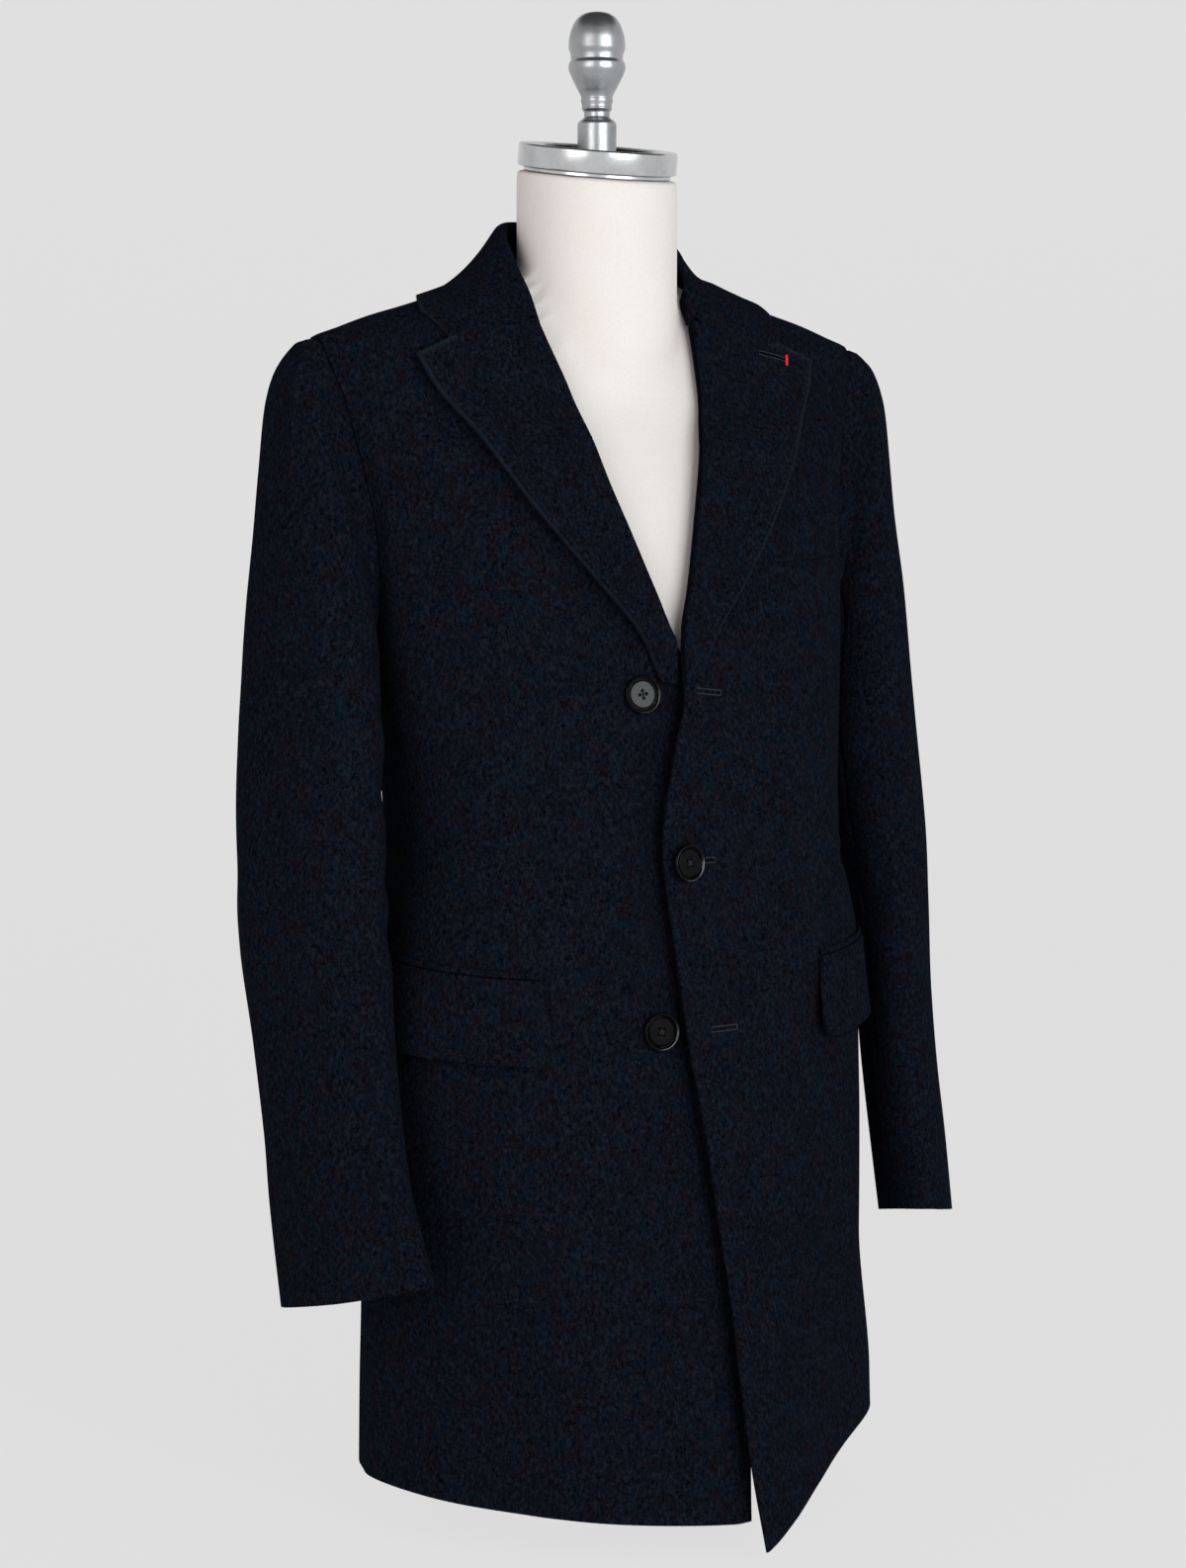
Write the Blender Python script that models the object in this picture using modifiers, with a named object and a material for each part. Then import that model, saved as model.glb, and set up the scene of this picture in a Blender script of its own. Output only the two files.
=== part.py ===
"""A tailored wool overcoat standing on a limbless dress form.

The coat is open at the neck, hem and cuffs. It fastens left over right with its middle button alone.
Its cloth follows one body surface, given by sections at named heights, and each cut piece is a wall
between two seams of that surface. Metres, +Z up, the front faces -Y and the wearer's left is +X.
The origin is on the floor, under the middle of the whole object.
"""
import math

import bmesh
import bpy
import numpy as np
from mathutils import Matrix, Vector

AXIS_Y = 0.0396          # the neck's axis stands this far behind the origin
FLARE, FLARE_ANGLE = 0.011, math.radians(64)
WALL = 0.0022            # body and sleeve cloth
LAPEL_WALL = 0.0034      # cloth, canvas and facing pressed together
COLLAR_WALL = 0.0024
FLAP_WALL = 0.0030
SEAM = 0.0003            # gap between neighbouring pieces
OVERLAP_LIFT = 0.0034    # the left front rides this far over the right one
LEFT_LOOSE = 0.004       # its edge stands this much further off near the hem
RIGHT_TUCK, RIGHT_CHEST_TUCK = 0.008, 0.003     # how far the right front's edge sinks under the left one

ARM_CENTRE_Z, ARM_CENTRE_Y = 0.756, 0.009
ARM_HALF_HEIGHT = 0.106
ARM_FORE, ARM_AFT = 0.033, 0.056
ARM_SKEW = 0.45          # the armhole's front is cut further forward low down
ARM_STEPS = 12           # steps down half of an armhole
SIDE_SEAM = math.radians(97)

COAT = (  # height, half_width, middle_y, front_y, back_y, front_power, back_power
    (0.000, 0.1980, -0.010, -0.2240, 0.124, 1.70, 2.0),
    (0.100, 0.1985, -0.012, -0.1960, 0.122, 1.78, 1.92),
    (0.180, 0.2000, -0.016, -0.1780, 0.121, 1.92, 1.78),
    (0.280, 0.2005, -0.020, -0.1560, 0.121, 2.15, 1.78),
    (0.360, 0.1985, -0.024, -0.1420, 0.119, 2.35, 1.88),
    (0.420, 0.1940, -0.026, -0.1370, 0.115, 2.55, 2.0),
    (0.455, 0.1870, -0.027, -0.1330, 0.110, 2.55, 2.0),
    (0.490, 0.1790, -0.027, -0.1300, 0.106, 2.50, 2.0),
    (0.530, 0.1790, -0.024, -0.1270, 0.107, 2.50, 2.0),
    (0.580, 0.1830, -0.016, -0.1220, 0.114, 2.50, 2.1),
    (0.650, 0.1920, -0.002, -0.1120, 0.131, 2.50, 2.1),
    (0.690, 0.1970, 0.004, -0.1030, 0.139, 2.45, 2.1),
    (0.730, 0.2030, 0.009, -0.0940, 0.145, 2.35, 2.1),
    (0.780, 0.2140, 0.012, -0.0800, 0.149, 2.20, 2.1),
    (0.820, 0.2240, 0.011, -0.0560, 0.142, 2.10, 2.0),
    (0.847, 0.2290, 0.009, -0.0460, 0.132, 2.00, 1.9),
    (0.862, 0.2255, 0.007, -0.0410, 0.124, 1.90, 1.8),
    (0.870, 0.2060, 0.006, -0.0385, 0.117, 1.80, 1.75),
    (0.879, 0.1810, 0.006, -0.0365, 0.110, 1.75, 1.7),
    (0.887, 0.1530, 0.006, -0.0350, 0.102, 1.70, 1.7),
    (0.896, 0.1250, 0.006, -0.0330, 0.094, 1.70, 1.7),
    (0.906, 0.0980, 0.006, -0.0310, 0.086, 1.70, 1.7),
    (0.912, 0.0840, 0.006, -0.0300, 0.081, 1.80, 1.8),
)
FORM = (  # height, half_width, middle_y, front_y, back_y, front_power, back_power
    (0.235, 0.1300, -0.020, -0.0900, 0.050, 2.0, 2.0),
    (0.240, 0.1440, -0.020, -0.1040, 0.064, 2.0, 2.0),
    (0.260, 0.1540, -0.020, -0.1120, 0.074, 2.1, 2.0),
    (0.310, 0.1640, -0.021, -0.1180, 0.086, 2.2, 2.0),
    (0.370, 0.1660, -0.023, -0.1190, 0.092, 2.2, 2.0),
    (0.430, 0.1600, -0.024, -0.1150, 0.090, 2.2, 2.0),
    (0.490, 0.1520, -0.024, -0.1100, 0.084, 2.2, 2.0),
    (0.560, 0.1560, -0.018, -0.1080, 0.092, 2.2, 2.0),
    (0.630, 0.1700, -0.006, -0.1040, 0.112, 2.2, 2.0),
    (0.690, 0.1800, 0.004, -0.0950, 0.124, 2.2, 2.0),
    (0.740, 0.1880, 0.009, -0.0830, 0.130, 2.1, 2.0),
    (0.790, 0.1980, 0.011, -0.0640, 0.132, 2.0, 2.0),
    (0.820, 0.2040, 0.010, -0.0480, 0.128, 2.0, 1.9),
    (0.840, 0.2040, 0.008, -0.0400, 0.122, 1.9, 1.8),
    (0.852, 0.1980, 0.007, -0.0370, 0.116, 1.85, 1.75),
    (0.862, 0.1900, 0.006, -0.0325, 0.111, 1.8, 1.70),
    (0.872, 0.1895, 0.006, -0.0280, 0.106, 1.75, 1.65),
    (0.882, 0.1590, 0.006, -0.0240, 0.099, 1.7, 1.65),
    (0.892, 0.1265, 0.006, -0.0190, 0.089, 1.7, 1.65),
    (0.901, 0.0780, 0.005, -0.0170, 0.072, 1.8, 1.8),
    (0.910, 0.0600, 0.002, -0.0300, 0.058, 1.9, 1.9),
    (0.922, 0.0460, 0.000, -0.0400, 0.046, 2.0, 2.0),
    (0.975, 0.0400, 0.000, -0.0400, 0.040, 2.0, 2.0),
)
NECK = ((0.760, 0.010), (0.800, 0.030), (0.830, 0.0480), (0.850, 0.0560), (0.875, 0.0588), (0.975, 0.0594))
LEFT_EDGE = (  # height, x of the left front's edge, then of its roll line
    (0.000, 0.006), (0.060, 0.004), (0.160, 0.004), (0.230, 0.002), (0.300, -0.001), (0.360, -0.008),
    (0.430, -0.016), (0.500, -0.022), (0.570, -0.007), (0.610, 0.0060), (0.654, 0.0075),
    (0.7235, 0.0285), (0.815, 0.0560), (0.879, 0.0655), (0.906, 0.0750),
)
RIGHT_EDGE = (  # height, x of the right front's edge, then of its roll line
    (0.000, 0.006), (0.058, 0.012), (0.130, 0.013), (0.230, 0.014), (0.370, 0.012), (0.490, 0.018),
    (0.580, 0.012), (0.620, 0.006), (0.654, -0.0060), (0.7235, -0.0305), (0.815, -0.0575),
    (0.879, -0.0660), (0.906, -0.0750),
)
HEM = (  # angle in degrees from the front towards the wearer's left, height of the hem
    (-180, 0.056), (-120, 0.048), (-90, 0.041), (-60, 0.038), (-40, 0.036), (-20, 0.033), (-3, 0.030),
)
LEFT_HEM = ((-8, 0.008), (0, 0.008), (14, 0.023), (34, 0.047), (60, 0.062), (100, 0.063), (180, 0.056))
LAPEL_EDGE = (  # share of the way up, x and height of the free edge
    (0.00, 0.0150, 0.619), (0.14, 0.0260, 0.645), (0.33, 0.0612, 0.690), (0.52, 0.0979, 0.7375),
    (0.71, 0.1292, 0.786), (0.88, 0.1543, 0.826), (1.00, 0.1663, 0.8515),
)
LAPEL_BREAK, LAPEL_GORGE = 0.617, 0.8765      # heights of the roll line's ends
GORGE_X = 0.0635                              # x of the roll line's upper end
NOTCH = (0.1325, 0.8665)                      # x and height of the notch's inner corner
GORGE_SHARE = 0.80                            # of the collar's front end, the share along the gorge
SLEEVE = (  # row, outer_x, outer_z, inner_x, inner_z, centre_y, fore, aft, turn in degrees, rise
    (1, 0.2350, 0.8610, 0.1930, 0.6460, 0.010, 0.0350, 0.0570, 0, 0.000),
    (2, 0.2430, 0.8530, 0.1938, 0.6435, 0.010, 0.0390, 0.0580, 2, 0.000),
    (3, 0.2510, 0.8290, 0.1942, 0.6405, 0.009, 0.0440, 0.0590, 4, 0.000),
    (4, 0.2563, 0.7850, 0.1946, 0.6370, 0.008, 0.0500, 0.0595, 6, 0.000),
    (5, 0.2620, 0.7330, 0.1950, 0.6325, 0.006, 0.0550, 0.0590, 9, 0.000),
    (6, 0.2685, 0.6800, 0.1957, 0.6270, 0.003, 0.0580, 0.0590, 13, 0.000),
    (7, 0.2725, 0.6320, 0.1975, 0.6130, -0.001, 0.0585, 0.0585, 19, 0.001),
    (8, 0.2750, 0.5820, 0.2020, 0.5780, -0.008, 0.0600, 0.0600, 25, 0.002),
    (9, 0.2802, 0.4900, 0.2092, 0.4900, -0.0185, 0.0608, 0.0608, 30, 0.003),
    (10, 0.2780, 0.4350, 0.2130, 0.4350, -0.0270, 0.0608, 0.0608, 30, 0.004),
    (11, 0.2740, 0.3700, 0.2150, 0.3700, -0.0380, 0.0572, 0.0572, 30, 0.006),
    (12, 0.2720, 0.3100, 0.2140, 0.3100, -0.0495, 0.0555, 0.0560, 30, 0.008),
    (13, 0.2708, 0.2650, 0.2132, 0.2650, -0.0600, 0.0560, 0.0580, 30, 0.010),
    (14, 0.2655, 0.1945, 0.2105, 0.1945, -0.0800, 0.0610, 0.0635, 30, 0.0145),
)
SLEEVE_ROWS = (0, 1, 2, 3, 4, 5, 6, 7, 8, 8.5, 9, 10, 11, 12, 13)
LEFT_CUFF, RIGHT_CUFF = 13.92, 14     # the rows at which the sleeves end
COLLAR = (  # place from centre back (0) to the gorge (1): fold x y z, seam x y z, leaf edge x y
    (0.00, 0.0000, 0.0735, 0.9540, 0.0000, 0.0780, 0.9095, 0.0000, 0.1060),
    (0.25, 0.0375, 0.0600, 0.9525, 0.0415, 0.0660, 0.9095, 0.0600, 0.0900),
    (0.50, 0.0612, 0.0282, 0.9465, 0.0710, 0.0325, 0.9095, 0.1020, 0.0560),
    (0.68, 0.0688, 0.0036, 0.9340, 0.0725, 0.0045, 0.9095, 0.1220, 0.0300),
    (0.84, 0.0685, -0.0150, 0.9160, 0.0672, -0.0130, 0.9040, 0.1360, 0.0120),
    (0.92, 0.0662, -0.0258, 0.9010, 0.0622, -0.0200, 0.8910, 0.1420, 0.0030),
    (1.00, GORGE_X, -0.0370, 0.8825, 0.0612, -0.0300, 0.8800, 0.1473, -0.0057),
)
BUTTON_RADIUS, BUTTON_DEPTH = 0.0138, 0.0042
BUTTONS = (  # name, x, height, turn towards the wearer's left in degrees, on the left front
    ("button_top", -0.0306, 0.6107, -4, False),
    ("button_middle", -0.0040, 0.4902, 10, True),
    ("button_bottom", -0.0290, 0.3720, -2, False),
)
POCKET_X, POCKET_TOP, POCKET_DEPTH, POCKET_LENGTH = 0.1165, 0.4130, 0.0600, 0.1600
POCKET_CLIMB, FLAP_CORNER = 0.0100, 0.0130
POCKET_RADIUS = 0.185                 # the coat's roundness where a pocket lies
FLAP_STAND, FLAP_KICK = 0.0014, 0.0050          # how far a flap's top and its lower edge stand off
JET_RISES, JET_STAND, JET_WALL = (0.0052, 0.0030, 0.0008), 0.0026, 0.0020
WELT_INNER_X, WELT_OUTER_X = 0.0745, 0.1760
WELT_LOW, WELT_DEPTH, WELT_CLIMB = 0.7010, 0.0300, 0.0035
WELT_SLANT, WELT_STAND, WELT_WALL = 0.0230, 0.0030, 0.0024
CAP_RADIUS, CAP_DEPTH, CAP_TILT = 0.0585, 0.0165, math.radians(8.5)
RING_RADIUS, RING_DEPTH = 0.0540, 0.0032
FINIAL = (  # radius and height of the turned finial, from its foot up
    (0.0143, 0.9880), (0.0143, 1.0205), (0.0134, 1.0225), (0.0094, 1.0262), (0.0094, 1.0290),
    (0.0112, 1.0325), (0.0108, 1.0335), (0.0118, 1.0385), (0.0113, 1.0395), (0.0121, 1.0420),
    (0.0150, 1.0475), (0.0192, 1.0560), (0.0209, 1.0615), (0.0206, 1.0645), (0.0191, 1.0675),
    (0.0193, 1.0705), (0.0208, 1.0760), (0.0205, 1.0815), (0.0187, 1.0890), (0.0152, 1.0960),
    (0.0100, 1.1002), (0.0050, 1.1019),
)
NECK_TOP, CAP_WELL = 0.9840, 0.0040
POLE_RADIUS = 0.0140
BASE_RADIUS, BASE_DEPTH, BASE_HUB = 0.0980, 0.0180, 0.0320
BASE_Y = 0.004


class Profile:
    """A short table read smoothly between its rows, with no overshoot; the first column is the place."""

    def __init__(self, rows):
        self.place = np.array([row[0] for row in rows], float)
        self.sizes = np.array([row[1:] for row in rows], float)
        slope = np.diff(self.sizes, axis=0) / np.diff(self.place)[:, None]
        before, after = slope[:-1], slope[1:]
        together = before * after
        inner = np.where(together > 0, 2 * together / np.where(together > 0, before + after, 1), 0)
        self.slope = np.vstack([slope[:1], inner, slope[-1:]])

    def at(self, place):
        place = min(max(place, self.place[0]), self.place[-1])
        i = min(int(np.searchsorted(self.place, place, side="right")) - 1, len(self.place) - 2)
        span = self.place[i + 1] - self.place[i]
        t = (place - self.place[i]) / span
        start = (1 + 2 * t) * (1 - t) ** 2 * self.sizes[i] + t * (1 - t) ** 2 * span * self.slope[i]
        end = t * t * (3 - 2 * t) * self.sizes[i + 1] - t * t * (1 - t) * span * self.slope[i + 1]
        return start + end


coat, form, neck, sleeve = Profile(COAT), Profile(FORM), Profile(NECK), Profile(SLEEVE)
left_edge, right_edge = Profile(LEFT_EDGE), Profile(RIGHT_EDGE)
hem, left_hem = Profile(HEM), Profile(LEFT_HEM)
lapel_edge, collar = Profile(LAPEL_EDGE), Profile(COLLAR)


def ease(value, low, high):
    t = min(max((value - low) / (high - low), 0.0), 1.0)
    return t * t * (3 - 2 * t)


def lerp(a, b, t):
    return a + (b - a) * t


def on_section(profile, angle, height):
    """The point of a section at an angle from the front (-Y) towards the wearer's left (+X)."""
    half, middle, front, back, front_power, back_power = profile.at(height)
    side, ahead = math.sin(angle), math.cos(angle)
    depth, power = (middle - front, front_power) if ahead >= 0 else (back - middle, back_power)
    x = math.copysign(half * abs(side) ** (2 / power), side)
    y = middle - math.copysign(depth * abs(ahead) ** (2 / power), ahead)
    return Vector((x, y + AXIS_Y, height))


def coat_point(angle, height):
    return on_section(coat, angle, height)


def outward(surface, u, v, u_step=0.02, v_step=0.002):
    along = surface(u + u_step, v) - surface(u - u_step, v)
    up = surface(u, v + v_step) - surface(u, v - v_step)
    return along.cross(up).normalized()


def front_angle(x, height):
    """The angle at which the coat's front has this x."""
    half, _, _, _, power, _ = coat.at(height)
    return math.copysign(math.asin(min(abs(x) / half, 1.0) ** (power / 2)), x)


def angle_at_y(y, height):
    """The angle at which the coat's left half has this y, measured from the neck's axis."""
    _, middle, front, back, front_power, back_power = coat.at(height)
    if y <= middle:
        return math.acos(min((middle - y) / (middle - front), 1.0) ** (front_power / 2))
    return math.pi - math.acos(min((y - middle) / (back - middle), 1.0) ** (back_power / 2))


def shoulder_height(x, y):
    """The height at which the coat's shoulder has this x and y, both from the neck's axis."""
    low, high = 0.800, SHOULDER_LEVELS[-1]
    for _ in range(40):
        height = (low + high) / 2
        half, middle, front, back, front_power, back_power = coat.at(height)
        depth, power = (middle - front, front_power) if y <= middle else (back - middle, back_power)
        outside = (abs(x) / half) ** power + (abs(y - middle) / depth) ** power > 1
        low, high = (low, height) if outside else (height, high)
    return (low + high) / 2


def arm_shape(phi):
    """How far forward an armhole stands at phi, as a share of its reach."""
    up, ahead = math.cos(phi), math.sin(phi)
    if ahead > 0:
        return (1 - ARM_SKEW * up) * ahead ** 0.5
    return -abs(ahead) ** 0.8


def armhole(phi):
    """y and height of the armhole, seen from the side; phi 0 is its top and +90 degrees its front."""
    shape = arm_shape(phi)
    reach = ARM_FORE if shape > 0 else ARM_AFT
    return ARM_CENTRE_Y - reach * shape, ARM_CENTRE_Z + ARM_HALF_HEIGHT * math.cos(phi)


def armhole_point(phi):
    y, height = armhole(phi)
    return coat_point(angle_at_y(y, height), height)


def material(name, colour, roughness, metallic=0.0):
    made = bpy.data.materials.get(name)
    if made is None:
        made = bpy.data.materials.new(name)
        made.use_nodes = True
        shader = made.node_tree.nodes["Principled BSDF"]
        shader.inputs["Base Color"].default_value = (*colour, 1)
        shader.inputs["Roughness"].default_value = roughness
        shader.inputs["Metallic"].default_value = metallic
    return made


def wool():
    return material("navy_wool", (0.012, 0.016, 0.028), 0.95)


def horn():
    return material("black_button", (0.010, 0.010, 0.011), 0.25)


def canvas():
    return material("ecru_canvas", (0.83, 0.79, 0.73), 0.85)


def metal():
    return material("brushed_metal", (0.42, 0.43, 0.45), 0.38, 1.0)


def iron():
    return material("painted_iron", (0.60, 0.60, 0.60), 0.50, 0.0)


def add(name, mesh_data, finish, smooth=math.radians(40)):
    """Puts a bmesh in the coat's collection as one named object."""
    data = bpy.data.meshes.new(name)
    mesh_data.to_mesh(data)
    mesh_data.free()
    data.shade_smooth()
    data.set_sharp_from_angle(angle=smooth)
    data.materials.append(finish)
    made = bpy.data.objects.new(name, data)
    part.objects.link(made)
    return made


def wall(name, rows, thickness, finish):
    """A cloth wall: a grid laid through rows of (outer point, outward direction), thickened inwards."""
    spots = [spot for row in rows for spot in row]
    sheet = bmesh.new()
    bmesh.ops.create_grid(sheet, x_segments=len(rows[0]) - 1, y_segments=len(rows) - 1)
    for vert, (point, _) in zip(sheet.verts, spots):
        vert.co = point
    sheet.normal_update()
    if sum(vert.normal.dot(normal) for vert, (_, normal) in zip(sheet.verts, spots)) < 0:
        bmesh.ops.reverse_faces(sheet, faces=sheet.faces)
    made = add(name, sheet, finish)
    cloth = made.modifiers.new("cloth", "SOLIDIFY")
    cloth.thickness, cloth.offset = thickness, -1
    return made


def trimmed(rows, ends=(True, True), gap=SEAM * 1.8):
    """The rows with their end points drawn back, square to the seam, by half its gap."""
    edges = [(0, 1)] * ends[0] + [(-1, -2)] * ends[1]
    for here, beside in edges:
        line = [row[here][0] for row in rows]
        for i, row in enumerate(rows):
            point, normal = row[here]
            along = (line[min(i + 1, len(line) - 1)] - line[max(i - 1, 0)]).normalized()
            inward = row[beside][0] - point
            inward = (inward - along * inward.dot(along)).normalized()
            row[here] = (point + inward * gap / 2, normal)
    return rows


def turned(name, profile, finish, steps=32):
    """A profile of (radius, height), from the top down its outer side, turned round its own Z axis."""
    line = bmesh.new()
    corners = [(0, profile[0][1]), *profile, (0, profile[-1][1])]
    verts = [line.verts.new((radius, 0, height)) for radius, height in corners]
    for upper, lower in zip(verts, verts[1:]):
        line.edges.new((upper, lower))
    made = add(name, line, finish)
    turn = made.modifiers.new("turn", "SCREW")
    turn.steps = turn.render_steps = steps
    turn.use_merge_vertices = True
    turn.merge_threshold = 0.0001
    turn.use_smooth_shade = True
    return made


# ------------------------------------------------------------------ the body of the coat

LOW_LEVELS = (0.0, 0.05, 0.11, 0.18, 0.25, 0.32, 0.38, 0.43, 0.47, 0.50, 0.54, 0.58, 0.615)
SHOULDER_LEVELS = (0.870, 0.879, 0.887, 0.896, 0.906)
HEM_BLEND = 0.32


def body_levels():
    """Heights of the rows and, beside the armhole, its angle phi."""
    rows = [(level, None) for level in LOW_LEVELS]
    for step in range(ARM_STEPS, -1, -1):
        phi = math.pi * step / ARM_STEPS
        rows.append((ARM_CENTRE_Z + ARM_HALF_HEIGHT * math.cos(phi), phi))
    return rows + [(level, None) for level in SHOULDER_LEVELS]


def side_angle(level, phi, way):
    """Where a panel ends at the side: the side seam, the armhole or the shoulder seam; way +1 is front."""
    if phi is not None:
        y, height = armhole(way * phi)
        return angle_at_y(y, height)
    if level > ARM_CENTRE_Z:
        return math.pi / 2
    arm_y, arm_z = armhole(math.pi)
    return lerp(SIDE_SEAM, angle_at_y(arm_y, arm_z), ease(level, 0.50, ARM_CENTRE_Z - ARM_HALF_HEIGHT))


def body_height(level, bottom):
    return level if level >= HEM_BLEND else lerp(bottom, HEM_BLEND, level / HEM_BLEND)


def front_lift(left, angle, height):
    """How far a front stands off the body surface near its edge."""
    edge = front_angle((left_edge if left else right_edge).at(height)[0], height)
    near = 1 - ease(abs(angle - edge), 0.02, 0.42)
    loose = 1 - ease(height, 0.0, 0.40)
    if left:
        low = 1 - ease(height, 0.66, 0.80)
        return near * low * (OVERLAP_LIFT + LEFT_LOOSE * loose) + skirt_flare(angle, height)
    skirt = 1 - ease(height, 0.05, 0.46)
    chest = ease(height, 0.50, 0.56) * (1 - ease(height, 0.60, 0.66))
    return -near * (2 * SEAM + RIGHT_TUCK * skirt + RIGHT_CHEST_TUCK * chest)


def skirt_flare(angle, height):
    """The skirt stands out a little at the wearer's left hip, near the hem."""
    beside = 1 - ease(abs(angle - FLARE_ANGLE), 0.0, 0.55)
    return FLARE * beside * ease(height, -0.02, 0.06) * (1 - ease(height, 0.09, 0.20))


def front_point(left, angle, height):
    normal = outward(coat_point, angle, height)
    return coat_point(angle, height) + normal * front_lift(left, angle, height), normal


def make_front(left):
    sign = 1 if left else -1
    edge_table, bottom = (left_edge, left_hem) if left else (right_edge, hem)
    columns = [0, 0.04, 0.10, 0.18, 0.27, 0.36, 0.46, 0.56, 0.66, 0.76, 0.86, 0.93, 0.97, 1]
    rows = []
    for level, phi in body_levels():
        start = front_angle(edge_table.at(level)[0], level)
        end = sign * side_angle(level, phi, 1)
        row = []
        for share in columns:
            angle = lerp(start, end, share)
            height = body_height(level, bottom.at(math.degrees(angle))[0])
            row.append(front_point(left, angle, height))
        rows.append(row)
    return wall("front_left" if left else "front_right", trimmed(rows, (False, True)), WALL, wool())


def make_back(left):
    sign = 1 if left else -1
    columns = [0, 0.02, 0.08, 0.18, 0.30, 0.44, 0.58, 0.72, 0.86, 0.975, 1]
    rows = []
    for level, phi in body_levels():
        start = sign * side_angle(level, phi, -1)
        row = []
        for share in columns:
            angle = lerp(start, sign * math.pi, share)
            bottom = (left_hem if left else hem).at(math.degrees(angle))[0]
            height = body_height(level, bottom)
            normal = outward(coat_point, angle, height)
            row.append((coat_point(angle, height) + normal * skirt_flare(angle, height), normal))
        rows.append(row)
    return wall("back_left" if left else "back_right", trimmed(rows), WALL, wool())


# ------------------------------------------------------------------ lapels and collar

def front_surface(left, x, height):
    """The outer point and direction of a front at an x and a height."""
    return front_point(left, front_angle(x, height), height)


def make_lapel(left):
    sign = 1 if left else -1
    edge_table = left_edge if left else right_edge
    across = [0, 0.12, 0.30, 0.50, 0.70, 0.88, 1]
    up = [0, 0.10, 0.18, 0.28, 0.39, 0.52, 0.65, 0.78, 0.90, 1]
    rows = []
    for v in up:
        roll_z = lerp(LAPEL_BREAK, LAPEL_GORGE, v)
        roll_x = edge_table.at(roll_z)[0]
        if not left:
            roll_x = min(roll_x, -0.002)
        outer_x, outer_z = lapel_edge.at(v)
        outer_x *= sign
        row = []
        for s in across:
            x, z = lerp(roll_x, outer_x, s), lerp(roll_z, outer_z, s)
            gorge_s = (NOTCH[0] - GORGE_X) / (LAPEL_EDGE[-1][1] - GORGE_X)
            straight = lerp(LAPEL_GORGE, LAPEL_EDGE[-1][2], gorge_s)
            bend = (NOTCH[1] - straight) * (s / gorge_s if s < gorge_s else (1 - s) / (1 - gorge_s))
            z += bend * v ** 6
            point, normal = front_surface(left, x, z)
            belly = 0.0022 * (1 - s) ** 2 * ease(v, 0.0, 0.12) + 0.0012 * ease(s, 0.1, 0.3)
            row.append((point + normal * (LAPEL_WALL + 0.0006 + belly), normal))
        rows.append(row)
    return wall("lapel_left" if left else "lapel_right", rows, LAPEL_WALL, wool())


def lying(place, wall_depth):
    """A point moved up until a wall of this depth, hanging from it, clears the coat."""
    here = shoulder_height(place.x, place.y)
    across = (shoulder_height(place.x + 0.002, place.y) - shoulder_height(place.x - 0.002, place.y)) / 0.004
    along = (shoulder_height(place.x, place.y + 0.002) - shoulder_height(place.x, place.y - 0.002)) / 0.004
    z = here + wall_depth * math.sqrt(1 + across ** 2 + along ** 2)
    return Vector((place.x, place.y, max(place.z, z)))


def gorge_point(share, fold, leaf):
    """The collar's front end: along the lapel's top edge to the notch, then out to the leaf's corner."""
    if share < GORGE_SHARE:
        x = lerp(fold.x, NOTCH[0], share / GORGE_SHARE)
        z = lerp(LAPEL_GORGE, NOTCH[1], share / GORGE_SHARE) + 0.0010
        point, normal = front_surface(True, x, z)
        return point + normal * (COLLAR_WALL + 0.0010) - Vector((0, AXIS_Y, 0))
    notch = gorge_point(GORGE_SHARE * 0.999, fold, leaf)
    return lying(lerp(notch, leaf, (share - GORGE_SHARE) / (1 - GORGE_SHARE)), COLLAR_WALL + 0.0014)


def collar_section(t):
    """Visible side of the collar at one place, from the neck seam over the fold to the leaf's edge."""
    side = -1 if t < 0 else 1
    t = abs(t)
    fold_x, fold_y, fold_z, seam_x, seam_y, seam_z, leaf_x, leaf_y = collar.at(t)
    fold, seam = Vector((fold_x, fold_y, fold_z)), Vector((seam_x, seam_y, seam_z))
    leaf = lying(Vector((leaf_x, leaf_y, 0)), COLLAR_WALL + 0.0010)
    away = Vector((leaf.x - fold.x, leaf.y - fold.y, 0)).normalized()
    front = ease(t, 0.80, 1.0)
    round_in, round_out = 0.0032, 0.0038
    top = fold - away * round_in + Vector((0, 0, -0.0040))
    outer = lying(fold + away * round_out + Vector((0, 0, -0.0004)), COLLAR_WALL + 0.0012)
    points = [seam, lerp(seam, top, 0.5), top, fold, outer]
    start = fold + away * round_out * 2 + Vector((0, 0, -0.0042))
    for share in (0.0, 0.22, 0.44, 0.66, GORGE_SHARE, 0.91, 1.0):
        sag = 0.016 * share * (1 - share) * (1 - front)
        straight = lying(lerp(start, leaf, share) - Vector((0, 0, sag)), COLLAR_WALL + 0.0010)
        place = lerp(straight, gorge_point(share, start, leaf), front)
        points.append(lying(place, COLLAR_WALL + 0.0016) if front < 1 else place)
    return [Vector((p.x * side, p.y + AXIS_Y, p.z)) for p in points]


def make_collar():
    places = [0, 0.12, 0.25, 0.37, 0.5, 0.6, 0.68, 0.76, 0.82, 0.87, 0.91, 0.94, 0.97, 1]
    grid = [collar_section(t) for t in [-t for t in places[:0:-1]] + places]
    rows = []
    for i, line in enumerate(grid):
        row = []
        for j, point in enumerate(line):
            before, after = grid[max(i - 1, 0)][j], grid[min(i + 1, len(grid) - 1)][j]
            down, on = line[max(j - 1, 0)], line[min(j + 1, len(line) - 1)]
            row.append((point, (after - before).cross(on - down).normalized()))
        rows.append(row)
    return wall("collar", rows, COLLAR_WALL, wool())


# ------------------------------------------------------------------ sleeves

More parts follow.
